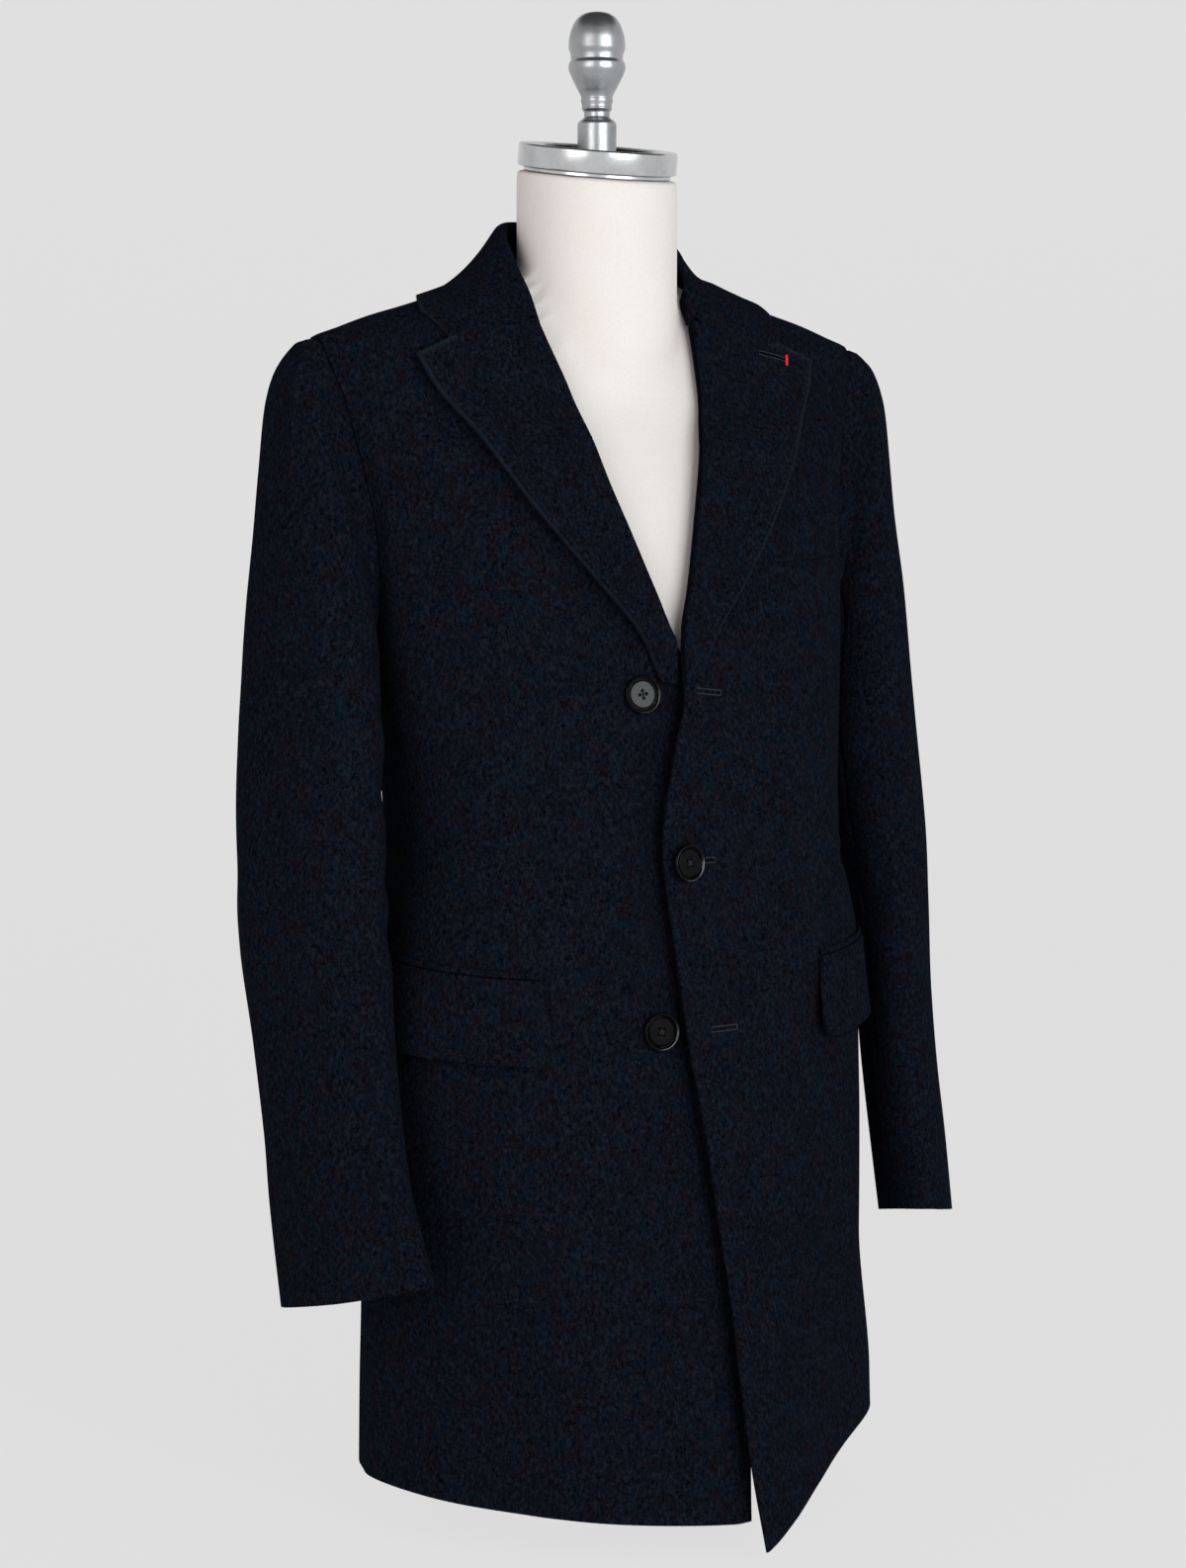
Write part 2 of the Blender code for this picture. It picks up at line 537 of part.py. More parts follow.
def sleeve_ring(phi, row):
    """Left sleeve: phi 0 is the outer side, +90 degrees the front, 180 the side next to the body."""
    if row < 1:
        return lerp(armhole_point(phi) + Vector((0.0009, 0, 0)), sleeve_ring(phi, 1), row)
    outer_x, outer_z, inner_x, inner_z, centre_y, fore, aft, turn, rise = sleeve.at(row)
    across, ahead = math.cos(phi), math.sin(phi)
    dx = (outer_x - inner_x) / 2 * across
    dy = -(fore if ahead > 0 else aft) * lerp(arm_shape(phi), ahead, min(row / 7, 1))
    turn = math.radians(turn)
    return Vector(((outer_x + inner_x) / 2 + dx * math.cos(turn) + dy * math.sin(turn),
                   centre_y + AXIS_Y - dx * math.sin(turn) + dy * math.cos(turn),
                   (outer_z + inner_z) / 2 + (outer_z - inner_z) / 2 * across + rise * ahead))


def sleeve_normal(phi, row):
    low, high = max(row - 1, 0), min(row + 1, SLEEVE[-1][0])
    along = sleeve_ring(phi + 0.05, row) - sleeve_ring(phi - 0.05, row)
    return along.cross(sleeve_ring(phi, low) - sleeve_ring(phi, high)).normalized() * -1


def make_sleeve(left, name, first, last):
    """A sleeve piece between two seams, given as steps of 15 degrees round the arm."""
    side = "left" if left else "right"
    mirror = Vector((1 if left else -1, 1, 1))
    rows = []
    for row in (*SLEEVE_ROWS, LEFT_CUFF if left else RIGHT_CUFF):
        line = []
        for step in (first, first + 0.12, *range(first + 1, last), last - 0.12, last):
            phi = math.pi * step / ARM_STEPS
            point, normal = sleeve_ring(phi, row), sleeve_normal(phi, row)
            line.append((point * mirror, normal * mirror))
        rows.append(line)
    return wall(f"{name}_{side}", trimmed(rows, gap=SEAM * 3), WALL, wool())


# ------------------------------------------------------------------ pockets and buttons

def make_flap(left):
    """A pocket flap lying on the front, its lower corners rounded and its lower edge just off the cloth."""
    sign = 1 if left else -1
    start = abs(front_angle(POCKET_X, POCKET_TOP))
    columns = [0, 0.02, 0.05, 0.09, 0.25, 0.40, 0.55, 0.70, 0.91, 0.95, 0.98, 1]
    down = [0, 0.25, 0.5, 0.75, 1]
    rows = []
    for d in down:
        row = []
        for share in columns:
            angle = sign * (start + POCKET_LENGTH / POCKET_RADIUS * share)
            from_end = min(share, 1 - share) * POCKET_LENGTH
            cut = max(FLAP_CORNER - from_end, 0)
            corner = FLAP_CORNER - math.sqrt(max(FLAP_CORNER ** 2 - cut ** 2, 0))
            height = POCKET_TOP + POCKET_CLIMB * share - d * (POCKET_DEPTH - corner)
            point, normal = front_point(left, angle, height)
            row.append((point + normal * (FLAP_WALL + FLAP_STAND + FLAP_KICK * d ** 2), normal))
        rows.append(row)
    return wall("flap_left" if left else "flap_right", rows, FLAP_WALL, wool())


def make_jet(left):
    """The narrow jet above a flap."""
    sign = 1 if left else -1
    start = abs(front_angle(POCKET_X, POCKET_TOP))
    rows = []
    for rise in JET_RISES:
        row = []
        for k in range(9):
            share = k / 8
            angle = sign * (start + POCKET_LENGTH / POCKET_RADIUS * share)
            point, normal = front_point(left, angle, POCKET_TOP + POCKET_CLIMB * share + rise)
            row.append((point + normal * JET_STAND, normal))
        rows.append(row)
    return wall("jet_left" if left else "jet_right", rows, JET_WALL, wool())


def make_breast_welt():
    rows = []
    for d in (1, 0.66, 0.33, 0):
        row = []
        for k in range(8):
            share = k / 7
            x = lerp(WELT_INNER_X + WELT_SLANT * d, WELT_OUTER_X, share)
            height = WELT_LOW + WELT_CLIMB * share + d * (WELT_DEPTH + 0.003 * share)
            point, normal = front_surface(True, x, height)
            row.append((point + normal * WELT_STAND, normal))
        rows.append(row)
    return wall("breast_welt", rows, WELT_WALL, wool())


def make_button(name, x, height, turn, on_left):
    """A dished button with a raised rim, square to the cloth that it is sewn to."""
    point, normal = front_surface(on_left, x, height)
    r, d = BUTTON_RADIUS, BUTTON_DEPTH
    outline = ((0.40 * r, 0.62 * d), (0.72 * r, 0.72 * d), (0.82 * r, d), (0.94 * r, d), (r, 0.70 * d),
               (r, 0.45 * d), (0.90 * r, 0.10 * d), (0.62 * r, 0))
    made = turned(name, outline, horn(), 20)
    normal.rotate(Matrix.Rotation(math.radians(turn), 3, "Z"))
    reach = abs(math.sin(math.radians(turn))) * r
    made.location = point + normal * (0.0009 + 0.42 * reach)
    made.rotation_euler = normal.to_track_quat("Z", "Y").to_euler()


# ------------------------------------------------------------------ dress form and stand

def form_point(angle, height):
    """The form's section, rounded out where the neck stands forward of the shoulders."""
    half, middle, front, back, front_power, back_power = form.at(height)
    side, ahead = math.sin(angle), math.cos(angle)
    depth, power = (middle - front, front_power) if ahead >= 0 else (back - middle, back_power)
    torso = ((abs(side) / half) ** power + (abs(ahead) / depth) ** power) ** (-1 / power)
    reach = (torso ** 20 + (neck.at(height)[0] + middle * ahead) ** 20) ** 0.05
    return Vector((reach * side, middle - reach * ahead + AXIS_Y, height))


def form_angles(height, steps):
    """Angles that space a section's points evenly along its width, whatever its shape."""
    half, middle, front, back, _, _ = form.at(height)
    depth = (back - front) / 2
    return [math.atan2(half * math.sin(a), depth * math.cos(a))
            for a in (2 * math.pi * k / steps for k in range(steps))]


def make_form():
    """The whole torso: one smooth loft from its flat foot to the top of the neck."""
    steps = 36
    heights = [row[0] for row in FORM[:-1]] + [0.955]
    mesh_data = bmesh.new()
    rings = []
    for height in heights:
        rings.append([form_point(a, height) for a in form_angles(height, steps)])
    slope = math.tan(CAP_TILT)
    for inset, rise in ((0, 0.0065), (0.0012, 0.0090), (0.0035, 0.0100)):
        ring = []
        for k in range(steps):
            a = 2 * math.pi * k / steps
            radius = NECK[-1][1] - inset
            y = -radius * math.cos(a)
            ring.append(Vector((radius * math.sin(a), y + AXIS_Y, 0.9740 + rise + y * slope)))
        rings.append(ring)
    made = [[mesh_data.verts.new(p) for p in ring] for ring in rings]
    for low, high in zip(made, made[1:]):
        for k in range(steps):
            m = (k + 1) % steps
            mesh_data.faces.new((low[k], low[m], high[m], high[k]))
    mesh_data.faces.new(made[0][::-1])
    mesh_data.faces.new(made[-1])
    return add("form_torso", mesh_data, canvas())


def tilted(made, height):
    """Tips a turned piece so that it slopes down to the front."""
    made.location = (0, AXIS_Y, height)
    made.rotation_euler.x = CAP_TILT


def make_cap():
    r, d = RING_RADIUS, RING_DEPTH
    tilted(turned("cap_ring", ((r, d), (r, 0.0006), (r - 0.0015, 0)), metal(), 36), NECK_TOP + SEAM)
    r, d = CAP_RADIUS, CAP_DEPTH
    outline = ((0.34 * r, d - CAP_WELL), (0.70 * r, d - CAP_WELL), (0.72 * r, d - 0.0012),
               (0.78 * r, d - 0.0012), (r - 0.0010, d), (r, d - 0.0010), (r, 0.0010), (r - 0.0010, 0))
    tilted(turned("cap_plate", outline, metal(), 36), NECK_TOP + RING_DEPTH + 2 * SEAM)


def make_finial():
    """The turned finial stands upright, its foot cut to the slope of the cap plate."""
    made = turned("finial", FINIAL[::-1], metal(), 20)
    made.location.y = AXIS_Y
    block = bmesh.new()
    bmesh.ops.create_cube(block, size=0.08)
    cutter = add("finial_foot_cutter", block, metal())
    part.objects.unlink(cutter)
    cutters.objects.link(cutter)
    cutter.hide_render, cutter.display_type = True, "WIRE"
    up = Matrix.Rotation(CAP_TILT, 3, "X") @ Vector((0, 0, 1))
    seat = Vector((0, AXIS_Y, NECK_TOP)) + up * (RING_DEPTH + CAP_DEPTH - CAP_WELL + 3 * SEAM)
    cutter.location = seat - up * 0.04
    cutter.rotation_euler.x = CAP_TILT
    cut = made.modifiers.new("foot", "BOOLEAN")
    cut.operation, cut.solver, cut.object = "DIFFERENCE", "EXACT", cutter


def make_stand():
    base_y = AXIS_Y + BASE_Y
    r, d = BASE_RADIUS, BASE_DEPTH
    hub = POLE_RADIUS * 1.7
    outline = ((hub, BASE_HUB), (hub, d), (0.30 * r, d), (0.94 * r, 0.62 * d), (r, 0.45 * d), (r, 0.0015),
               (r - 0.0015, 0))
    turned("base_plate", outline, iron(), 32).location.y = base_y
    low, high = BASE_HUB + SEAM, FORM[0][0] - SEAM
    tube = bmesh.new()
    bmesh.ops.create_cone(tube, cap_ends=True, segments=24, radius1=POLE_RADIUS, radius2=POLE_RADIUS,
                          depth=high - low)
    add("pole", tube, metal()).location = (0, base_y, (low + high) / 2)


for old in list(bpy.data.objects):
    bpy.data.objects.remove(old, do_unlink=True)
part = bpy.data.collections.new("wool_overcoat")
cutters = bpy.data.collections.new("cutters")
for collection in (part, cutters):
    bpy.context.scene.collection.children.link(collection)

for is_left in (True, False):
    make_front(is_left)
    make_back(is_left)
    make_lapel(is_left)
    make_flap(is_left)
    make_jet(is_left)
    make_sleeve(is_left, "sleeve_top", -7, 9)
    make_sleeve(is_left, "sleeve_under", 9, 17)
make_collar()
make_breast_welt()
for button in BUTTONS:
    make_button(*button)
make_form()
make_cap()
make_finial()
make_stand()
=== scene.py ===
"""A wool overcoat on a dress form: cloth shells, sewing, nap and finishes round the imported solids.

Every cloth piece is a grid that is laid on the coat's body surface, pressed into its folds and seams,
and given its thickness. Metres, +Z up, the front faces -Y and the wearer's left is +X.
"""
import math

import bmesh
import bpy
import numpy as np
from mathutils import Matrix, Vector


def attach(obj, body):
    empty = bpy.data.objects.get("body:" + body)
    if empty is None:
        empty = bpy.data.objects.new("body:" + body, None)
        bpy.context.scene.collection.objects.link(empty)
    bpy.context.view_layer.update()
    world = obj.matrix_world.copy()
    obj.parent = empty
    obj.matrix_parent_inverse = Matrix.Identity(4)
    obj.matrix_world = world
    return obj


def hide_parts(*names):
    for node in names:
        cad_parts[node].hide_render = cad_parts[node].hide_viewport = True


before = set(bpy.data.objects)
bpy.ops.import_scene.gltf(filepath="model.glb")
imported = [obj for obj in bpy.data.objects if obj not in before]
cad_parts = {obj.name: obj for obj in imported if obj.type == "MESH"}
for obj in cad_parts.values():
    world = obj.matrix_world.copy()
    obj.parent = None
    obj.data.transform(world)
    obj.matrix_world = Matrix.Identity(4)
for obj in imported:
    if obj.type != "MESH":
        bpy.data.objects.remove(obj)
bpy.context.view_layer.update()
scene = bpy.context.scene

AXIS_Y = 0.0396          # the neck's axis stands this far behind the origin
SEAM = 0.0003            # the gap between neighbouring pieces of the stand

# ------------------------------------------------------------------ camera

CAMERA_PLACE = (-1.2, AXIS_Y - 2.0785, 0.772)
CAMERA_DROP, CAMERA_SWING = 5.63, 30         # degrees down from level, and round towards the wearer's left
SENSOR_WIDTH, CAMERA_SHIFT, CLIP_END = 36, -0.0025, 20
FOCAL_LENGTH, FRAME_HEIGHT = 3264, 1586      # in pixels

camera = bpy.data.objects.new("camera", bpy.data.cameras.new("camera"))
scene.collection.objects.link(camera)
scene.camera = camera
camera.location = CAMERA_PLACE
camera.rotation_euler = (math.radians(90 - CAMERA_DROP), 0, -math.radians(CAMERA_SWING))
camera.data.sensor_width = SENSOR_WIDTH
camera.data.lens = SENSOR_WIDTH * FOCAL_LENGTH / FRAME_HEIGHT
camera.data.shift_x = CAMERA_SHIFT
camera.data.clip_end = CLIP_END

# ------------------------------------------------------------------ the coat's sizes

FLARE, FLARE_ANGLE = 0.011, math.radians(64)
WALL, LAPEL_WALL, COLLAR_WALL, FLAP_WALL, JET_WALL, WELT_WALL = 0.0022, 0.0034, 0.0024, 0.0030, 0.0020, 0.0024
OVERLAP_LIFT = 0.0034    # the left front rides this far over the right one
ARM_CENTRE_Z, ARM_CENTRE_Y, ARM_HALF_HEIGHT = 0.756, 0.009, 0.106
ARM_FORE, ARM_AFT, ARM_SKEW = 0.033, 0.056, 0.45
SIDE_SEAM = math.radians(97)
SHOULDER_TOP = 0.906
HEM_BLEND = 0.32         # below this height the rows of a panel close up towards its hem

GRIDS = {  # columns, rows, wall and rounding of the edges of each kind of cloth piece
    "front": (104, 184, WALL, 0.0007), "back": (66, 172, WALL, 0.0007),
    "sleeve_top": (76, 184, WALL, 0.0007), "sleeve_under": (40, 184, WALL, 0.0007),
    "lapel": (56, 120, LAPEL_WALL, 0.0011), "collar": (150, 44, COLLAR_WALL, 0.0010),
    "flap": (90, 40, FLAP_WALL, 0.0011), "jet": (60, 8, JET_WALL, 0.0006),
    "breast_welt": (50, 20, WELT_WALL, 0.0008),
}

COAT = (  # height, half_width, middle_y, front_y, back_y, front_power, back_power
    (0.000, 0.1980, -0.010, -0.2240, 0.124, 1.70, 2.0),
    (0.100, 0.1985, -0.012, -0.1960, 0.122, 1.78, 1.92),
    (0.180, 0.2000, -0.016, -0.1780, 0.121, 1.92, 1.78),
    (0.280, 0.2005, -0.020, -0.1560, 0.121, 2.15, 1.78),
    (0.360, 0.1985, -0.024, -0.1420, 0.119, 2.35, 1.88),
    (0.420, 0.1940, -0.026, -0.1370, 0.115, 2.55, 2.0),
    (0.455, 0.1870, -0.027, -0.1330, 0.110, 2.55, 2.0),
    (0.490, 0.1790, -0.027, -0.1300, 0.106, 2.50, 2.0),
    (0.530, 0.1790, -0.024, -0.1270, 0.107, 2.50, 2.0),
    (0.580, 0.1830, -0.016, -0.1220, 0.114, 2.50, 2.1),
    (0.650, 0.1920, -0.002, -0.1120, 0.131, 2.50, 2.1),
    (0.690, 0.1970, 0.004, -0.1030, 0.139, 2.45, 2.1),
    (0.730, 0.2030, 0.009, -0.0940, 0.145, 2.35, 2.1),
    (0.780, 0.2140, 0.012, -0.0800, 0.149, 2.20, 2.1),
    (0.820, 0.2240, 0.011, -0.0560, 0.142, 2.10, 2.0),
    (0.847, 0.2290, 0.009, -0.0460, 0.132, 2.00, 1.9),
    (0.862, 0.2255, 0.007, -0.0410, 0.124, 1.90, 1.8),
    (0.870, 0.2060, 0.006, -0.0385, 0.117, 1.80, 1.75),
    (0.879, 0.1810, 0.006, -0.0365, 0.110, 1.75, 1.7),
    (0.887, 0.1530, 0.006, -0.0350, 0.102, 1.70, 1.7),
    (0.896, 0.1250, 0.006, -0.0330, 0.094, 1.70, 1.7),
    (0.906, 0.0980, 0.006, -0.0310, 0.086, 1.70, 1.7),
    (0.912, 0.0840, 0.006, -0.0300, 0.081, 1.80, 1.8),
)
LEFT_EDGE = (  # height, x of the left front's edge, then of its roll line
    (0.000, 0.006), (0.060, 0.004), (0.160, 0.004), (0.230, 0.002), (0.300, -0.001), (0.360, -0.008),
    (0.430, -0.016), (0.500, -0.022), (0.570, -0.0085), (0.610, 0.0024), (0.636, 0.0026),
    (0.654, 0.0044), (0.6864, 0.0143), (0.7235, 0.0245), (0.791, 0.0445), (0.825, 0.0562), (0.879, 0.0595),
    (0.906, 0.0690),
)
RIGHT_EDGE = (  # height, x of the right front's edge, then of its roll line
    (0.000, 0.008), (0.058, 0.017), (0.130, 0.024), (0.230, 0.018), (0.370, 0.012), (0.490, 0.018),
    (0.580, 0.015), (0.610, 0.013), (0.628, 0.0100), (0.640, 0.0040), (0.654, -0.0050), (0.681, -0.0143),
    (0.7235, -0.0292), (0.768, -0.0440), (0.800, -0.0510), (0.827, -0.0560), (0.850, -0.0630),
    (0.866, -0.0680), (0.8815, -0.0712), (0.906, -0.0790),
)
HEM = (  # angle in degrees from the front towards the wearer's left, height of the hem
    (-180, 0.056), (-120, 0.048), (-90, 0.041), (-60, 0.038), (-40, 0.036), (-20, 0.033), (-3, 0.030),
)
LEFT_HEM = ((-8, 0.008), (0, 0.008), (14, 0.023), (34, 0.047), (60, 0.062), (100, 0.063), (180, 0.056))
LAPEL_EDGE = (  # share of the way up, x and height of the free edge
    (0.00, 0.0150, 0.619), (0.14, 0.0260, 0.645), (0.33, 0.0612, 0.690), (0.52, 0.0979, 0.7375),
    (0.71, 0.1292, 0.786), (0.88, 0.1538, 0.824), (1.00, 0.1648, 0.8490),
)
LAPEL_BREAK, LAPEL_GORGE, LAPEL_TIP = 0.617, 0.8765, 0.8490
NOTCH = (0.1370, 0.8610)
GORGE_SHARE, GORGE_X = 0.80, 0.0635
SLEEVE = (  # row, outer_x, outer_z, inner_x, inner_z, centre_y, fore, aft, turn in degrees, rise
    (1, 0.2350, 0.8590, 0.1930, 0.6460, 0.010, 0.0350, 0.0570, 0, 0.000),
    (2, 0.2430, 0.8508, 0.1938, 0.6435, 0.010, 0.0390, 0.0580, 2, 0.000),
    (3, 0.2510, 0.8290, 0.1942, 0.6405, 0.009, 0.0440, 0.0590, 4, 0.000),
    (4, 0.2563, 0.7850, 0.1946, 0.6370, 0.008, 0.0500, 0.0595, 6, 0.000),
    (5, 0.2620, 0.7330, 0.1950, 0.6325, 0.006, 0.0550, 0.0590, 9, 0.000),
    (6, 0.2685, 0.6800, 0.1957, 0.6270, 0.003, 0.0580, 0.0590, 13, 0.000),
    (7, 0.2725, 0.6320, 0.1975, 0.6130, -0.001, 0.0585, 0.0585, 19, 0.001),
    (8, 0.2750, 0.5820, 0.2020, 0.5780, -0.008, 0.0600, 0.0600, 25, 0.002),
    (9, 0.2802, 0.4900, 0.2092, 0.4900, -0.0185, 0.0608, 0.0608, 30, 0.003),
    (10, 0.2780, 0.4350, 0.2130, 0.4350, -0.0270, 0.0608, 0.0608, 30, 0.004),
    (11, 0.2740, 0.3700, 0.2150, 0.3700, -0.0380, 0.0572, 0.0572, 30, 0.006),
    (12, 0.2720, 0.3100, 0.2140, 0.3100, -0.0495, 0.0555, 0.0560, 30, 0.008),
    (13, 0.2708, 0.2650, 0.2132, 0.2650, -0.0600, 0.0560, 0.0580, 30, 0.010),
    (14, 0.2655, 0.1945, 0.2105, 0.1945, -0.0800, 0.0610, 0.0635, 30, 0.0145),
)
COLLAR = (  # place from centre back (0) to the gorge (1): fold x y z, seam x y z, leaf edge x y
    (0.00, 0.0000, 0.0735, 0.9540, 0.0000, 0.0780, 0.9095, 0.0000, 0.1060),
    (0.25, 0.0375, 0.0600, 0.9525, 0.0415, 0.0660, 0.9095, 0.0600, 0.0900),
    (0.50, 0.0612, 0.0282, 0.9465, 0.0710, 0.0325, 0.9095, 0.1020, 0.0560),
    (0.68, 0.0688, 0.0036, 0.9340, 0.0725, 0.0045, 0.9095, 0.1220, 0.0300),
    (0.84, 0.0685, -0.0150, 0.9160, 0.0672, -0.0130, 0.9040, 0.1365, 0.0090),
    (0.92, 0.0662, -0.0258, 0.9010, 0.0622, -0.0200, 0.8910, 0.1415, -0.0030),
    (1.00, GORGE_X, -0.0360, 0.8790, 0.0622, -0.0300, 0.8750, 0.1450, -0.0155),
)
FINIAL = (  # height and radius of the turned finial, from its foot up
    (0.9880, 0.0143), (1.0205, 0.0143), (1.0225, 0.0134), (1.0262, 0.0094), (1.0290, 0.0094),
    (1.0325, 0.0112), (1.0335, 0.0108), (1.0385, 0.0118), (1.0395, 0.0113), (1.0420, 0.0121),
    (1.0475, 0.0150), (1.0560, 0.0192), (1.0615, 0.0209), (1.0645, 0.0206), (1.0675, 0.0191),
    (1.0705, 0.0193), (1.0760, 0.0208), (1.0815, 0.0205), (1.0890, 0.0187), (1.0960, 0.0152),
    (1.1002, 0.0100), (1.1016, 0.0050), (1.1019, 0.0),
)
CAP_RADIUS, CAP_DEPTH, CAP_TILT, CAP_WELL = 0.0585, 0.0165, math.radians(8.5), 0.0040
RING_RADIUS, RING_DEPTH, NECK_TOP = 0.0540, 0.0032, 0.9840
POLE_RADIUS, POLE_TOP = 0.0140, 0.2347
BASE_RADIUS, BASE_DEPTH, BASE_HUB, BASE_Y = 0.0980, 0.0180, 0.0320, AXIS_Y + 0.004
BUTTON_RADIUS, BUTTON_DEPTH = 0.0138, 0.0042
BUTTONS = (  # name, x, height, turn in degrees, whether it lies on the left front
    ("button_top", -0.0306, 0.6107, -4, False),
    ("button_middle", -0.0040, 0.4902, 10, True),
    ("button_bottom", -0.0290, 0.3720, -2, False),
)
POCKET_X, POCKET_TOP, POCKET_DEPTH, POCKET_LENGTH = 0.1165, 0.4130, 0.0600, 0.1600
POCKET_CLIMB, FLAP_CORNER, POCKET_RADIUS = 0.0100, 0.0130, 0.185      # the radius turns lengths into angles
WELT_INNER_X, WELT_OUTER_X = 0.0745, 0.1760
WELT_LOW, WELT_DEPTH, WELT_CLIMB = 0.7010, 0.0300, 0.0035


class Profile:
    """A short table read smoothly between its rows, with no overshoot, at one place or many."""

    def __init__(self, rows):
        self.place = np.array([row[0] for row in rows], float)
        self.sizes = np.array([row[1:] for row in rows], float)
        slope = np.diff(self.sizes, axis=0) / np.diff(self.place)[:, None]
        before, after = slope[:-1], slope[1:]
        together = before * after
        inner = np.where(together > 0, 2 * together / np.where(together > 0, before + after, 1), 0)
        self.slope = np.vstack([slope[:1], inner, slope[-1:]])

    def at(self, place):
        place = np.clip(np.asarray(place, float), self.place[0], self.place[-1])
        i = np.clip(np.searchsorted(self.place, place, side="right") - 1, 0, len(self.place) - 2)
        span = (self.place[i + 1] - self.place[i])[..., None]
        t = (place - self.place[i])[..., None] / span
        start = (1 + 2 * t) * (1 - t) ** 2 * self.sizes[i] + t * (1 - t) ** 2 * span * self.slope[i]
        end = t * t * (3 - 2 * t) * self.sizes[i + 1] - t * t * (1 - t) * span * self.slope[i + 1]
        return np.moveaxis(start + end, -1, 0)


coat, sleeve, collar = Profile(COAT), Profile(SLEEVE), Profile(COLLAR)
left_edge, right_edge, lapel_edge = Profile(LEFT_EDGE), Profile(RIGHT_EDGE), Profile(LAPEL_EDGE)
lapel_reach = Profile([(height, x) for _, x, height in LAPEL_EDGE])
hem, left_hem = Profile(HEM), Profile(LEFT_HEM)


def ease(value, low, high):
    t = np.clip((value - low) / (high - low), 0.0, 1.0)
    return t * t * (3 - 2 * t)


def lerp(a, b, t):
    return a + (b - a) * t


def bump(value, middle, half_width):
    """1 at the middle, falling softly to almost 0 at half_width either side."""
    return np.exp(-4.0 * ((value - middle) / half_width) ** 2)


def spot(*axes):
    """Points from their coordinates, one of which may stand for all."""
    return np.stack(np.broadcast_arrays(*axes), axis=-1).astype(float)


def unit(vectors):
    return vectors / np.maximum(np.linalg.norm(vectors, axis=-1, keepdims=True), 1e-12)


def coat_point(angle, height):
    """The body surface at an angle from the front (-Y) towards the wearer's left (+X)."""
    half, middle, front, back, front_power, back_power = coat.at(height)
    side, ahead = np.sin(angle), np.cos(angle)
    depth = np.where(ahead >= 0, middle - front, back - middle)
    power = np.where(ahead >= 0, front_power, back_power)
    x = np.copysign(half * np.abs(side) ** (2 / power), side)
    y = middle - np.copysign(depth * np.abs(ahead) ** (2 / power), ahead)
    return spot(x, y + AXIS_Y, height)


def outward(angle, height, turn=0.02, rise=0.002):
    """The body surface's outward direction."""
    along = coat_point(angle + turn, height) - coat_point(angle - turn, height)
    up = coat_point(angle, height + rise) - coat_point(angle, height - rise)
    return unit(np.cross(along, up))


def front_angle(x, height):
    """The angle at which the front of the body surface has this x."""
    half, power = coat.at(height)[0], coat.at(height)[4]
    return np.copysign(np.arcsin(np.minimum(np.abs(x) / half, 1.0) ** (power / 2)), x)


def angle_at_y(y, height):
    """The angle at which the left half of the body surface has this y."""
    _, middle, front, back, front_power, back_power = coat.at(height)
    ahead = np.arccos(np.clip((middle - y) / (middle - front), 0.0, 1.0) ** (front_power / 2))
    behind = np.pi - np.arccos(np.clip((y - middle) / (back - middle), 0.0, 1.0) ** (back_power / 2))
    return np.where(y <= middle, ahead, behind)


def shoulder_height(x, y):
    """The height of the body surface above a place on the shoulder, found by halving."""
    low = np.full(np.shape(x), 0.800)
    high = np.full(np.shape(x), SHOULDER_TOP)
    for _ in range(24):
        height = (low + high) / 2
        half, middle, front, back, front_power, back_power = coat.at(height)
        depth = np.where(y <= middle, middle - front, back - middle)
        power = np.where(y <= middle, front_power, back_power)
        outside = (np.abs(x) / half) ** power + (np.abs(y - middle) / depth) ** power > 1
        low, high = np.where(outside, low, height), np.where(outside, height, high)
    return (low + high) / 2


def arm_shape(phi):
    up, ahead = np.cos(phi), np.sin(phi)
    return np.where(ahead > 0, (1 - ARM_SKEW * up) * np.abs(ahead) ** 0.5, -np.abs(ahead) ** 0.8)


def armhole(phi):
    """The armhole's y and height; phi is 0 at its top and 90 degrees at its front."""
    shape = arm_shape(phi)
    reach = np.where(shape > 0, ARM_FORE, ARM_AFT)
    return ARM_CENTRE_Y - reach * shape, ARM_CENTRE_Z + ARM_HALF_HEIGHT * np.cos(phi)


def armhole_point(phi):
    y, height = armhole(phi)
    return coat_point(angle_at_y(y, height), height)


def skirt_flare(angle, height):
    beside = 1 - ease(np.abs(angle - FLARE_ANGLE), 0.0, 0.55)
    return FLARE * beside * ease(height, -0.02, 0.06) * (1 - ease(height, 0.09, 0.20))


def front_lift(left, angle, height):
    """How far a front stands off the body surface near its edge: the left one above, the right one below."""
    edge = front_angle((left_edge if left else right_edge).at(height)[0], height)
    near = 1 - ease(np.abs(angle - edge), 0.02, 0.42)
    if left:
        low, loose = 1 - ease(height, 0.66, 0.80), 1 - ease(height, 0.0, 0.40)
        return near * low * (OVERLAP_LIFT + 0.004 * loose) + skirt_flare(angle, height)
    chest = ease(height, 0.50, 0.56) * (1 - ease(height, 0.60, 0.66))
    return -near * (0.0006 + 0.008 * (1 - ease(height, 0.05, 0.46)) + 0.003 * chest)


def front_point(left, angle, height):
    normal = outward(angle, height)
    return coat_point(angle, height) + normal * front_lift(left, angle, height)[..., None], normal


def front_surface(left, x, height):
    return front_point(left, front_angle(x, height), height)


# ------------------------------------------------------------------ making cloth

part = bpy.data.collections.new("wool_overcoat")
scene.collection.children.link(part)


def sided(kind, left):
    return kind + ("_left" if left else "_right")


def kind_of(node):
    return node.removesuffix("_left").removesuffix("_right")


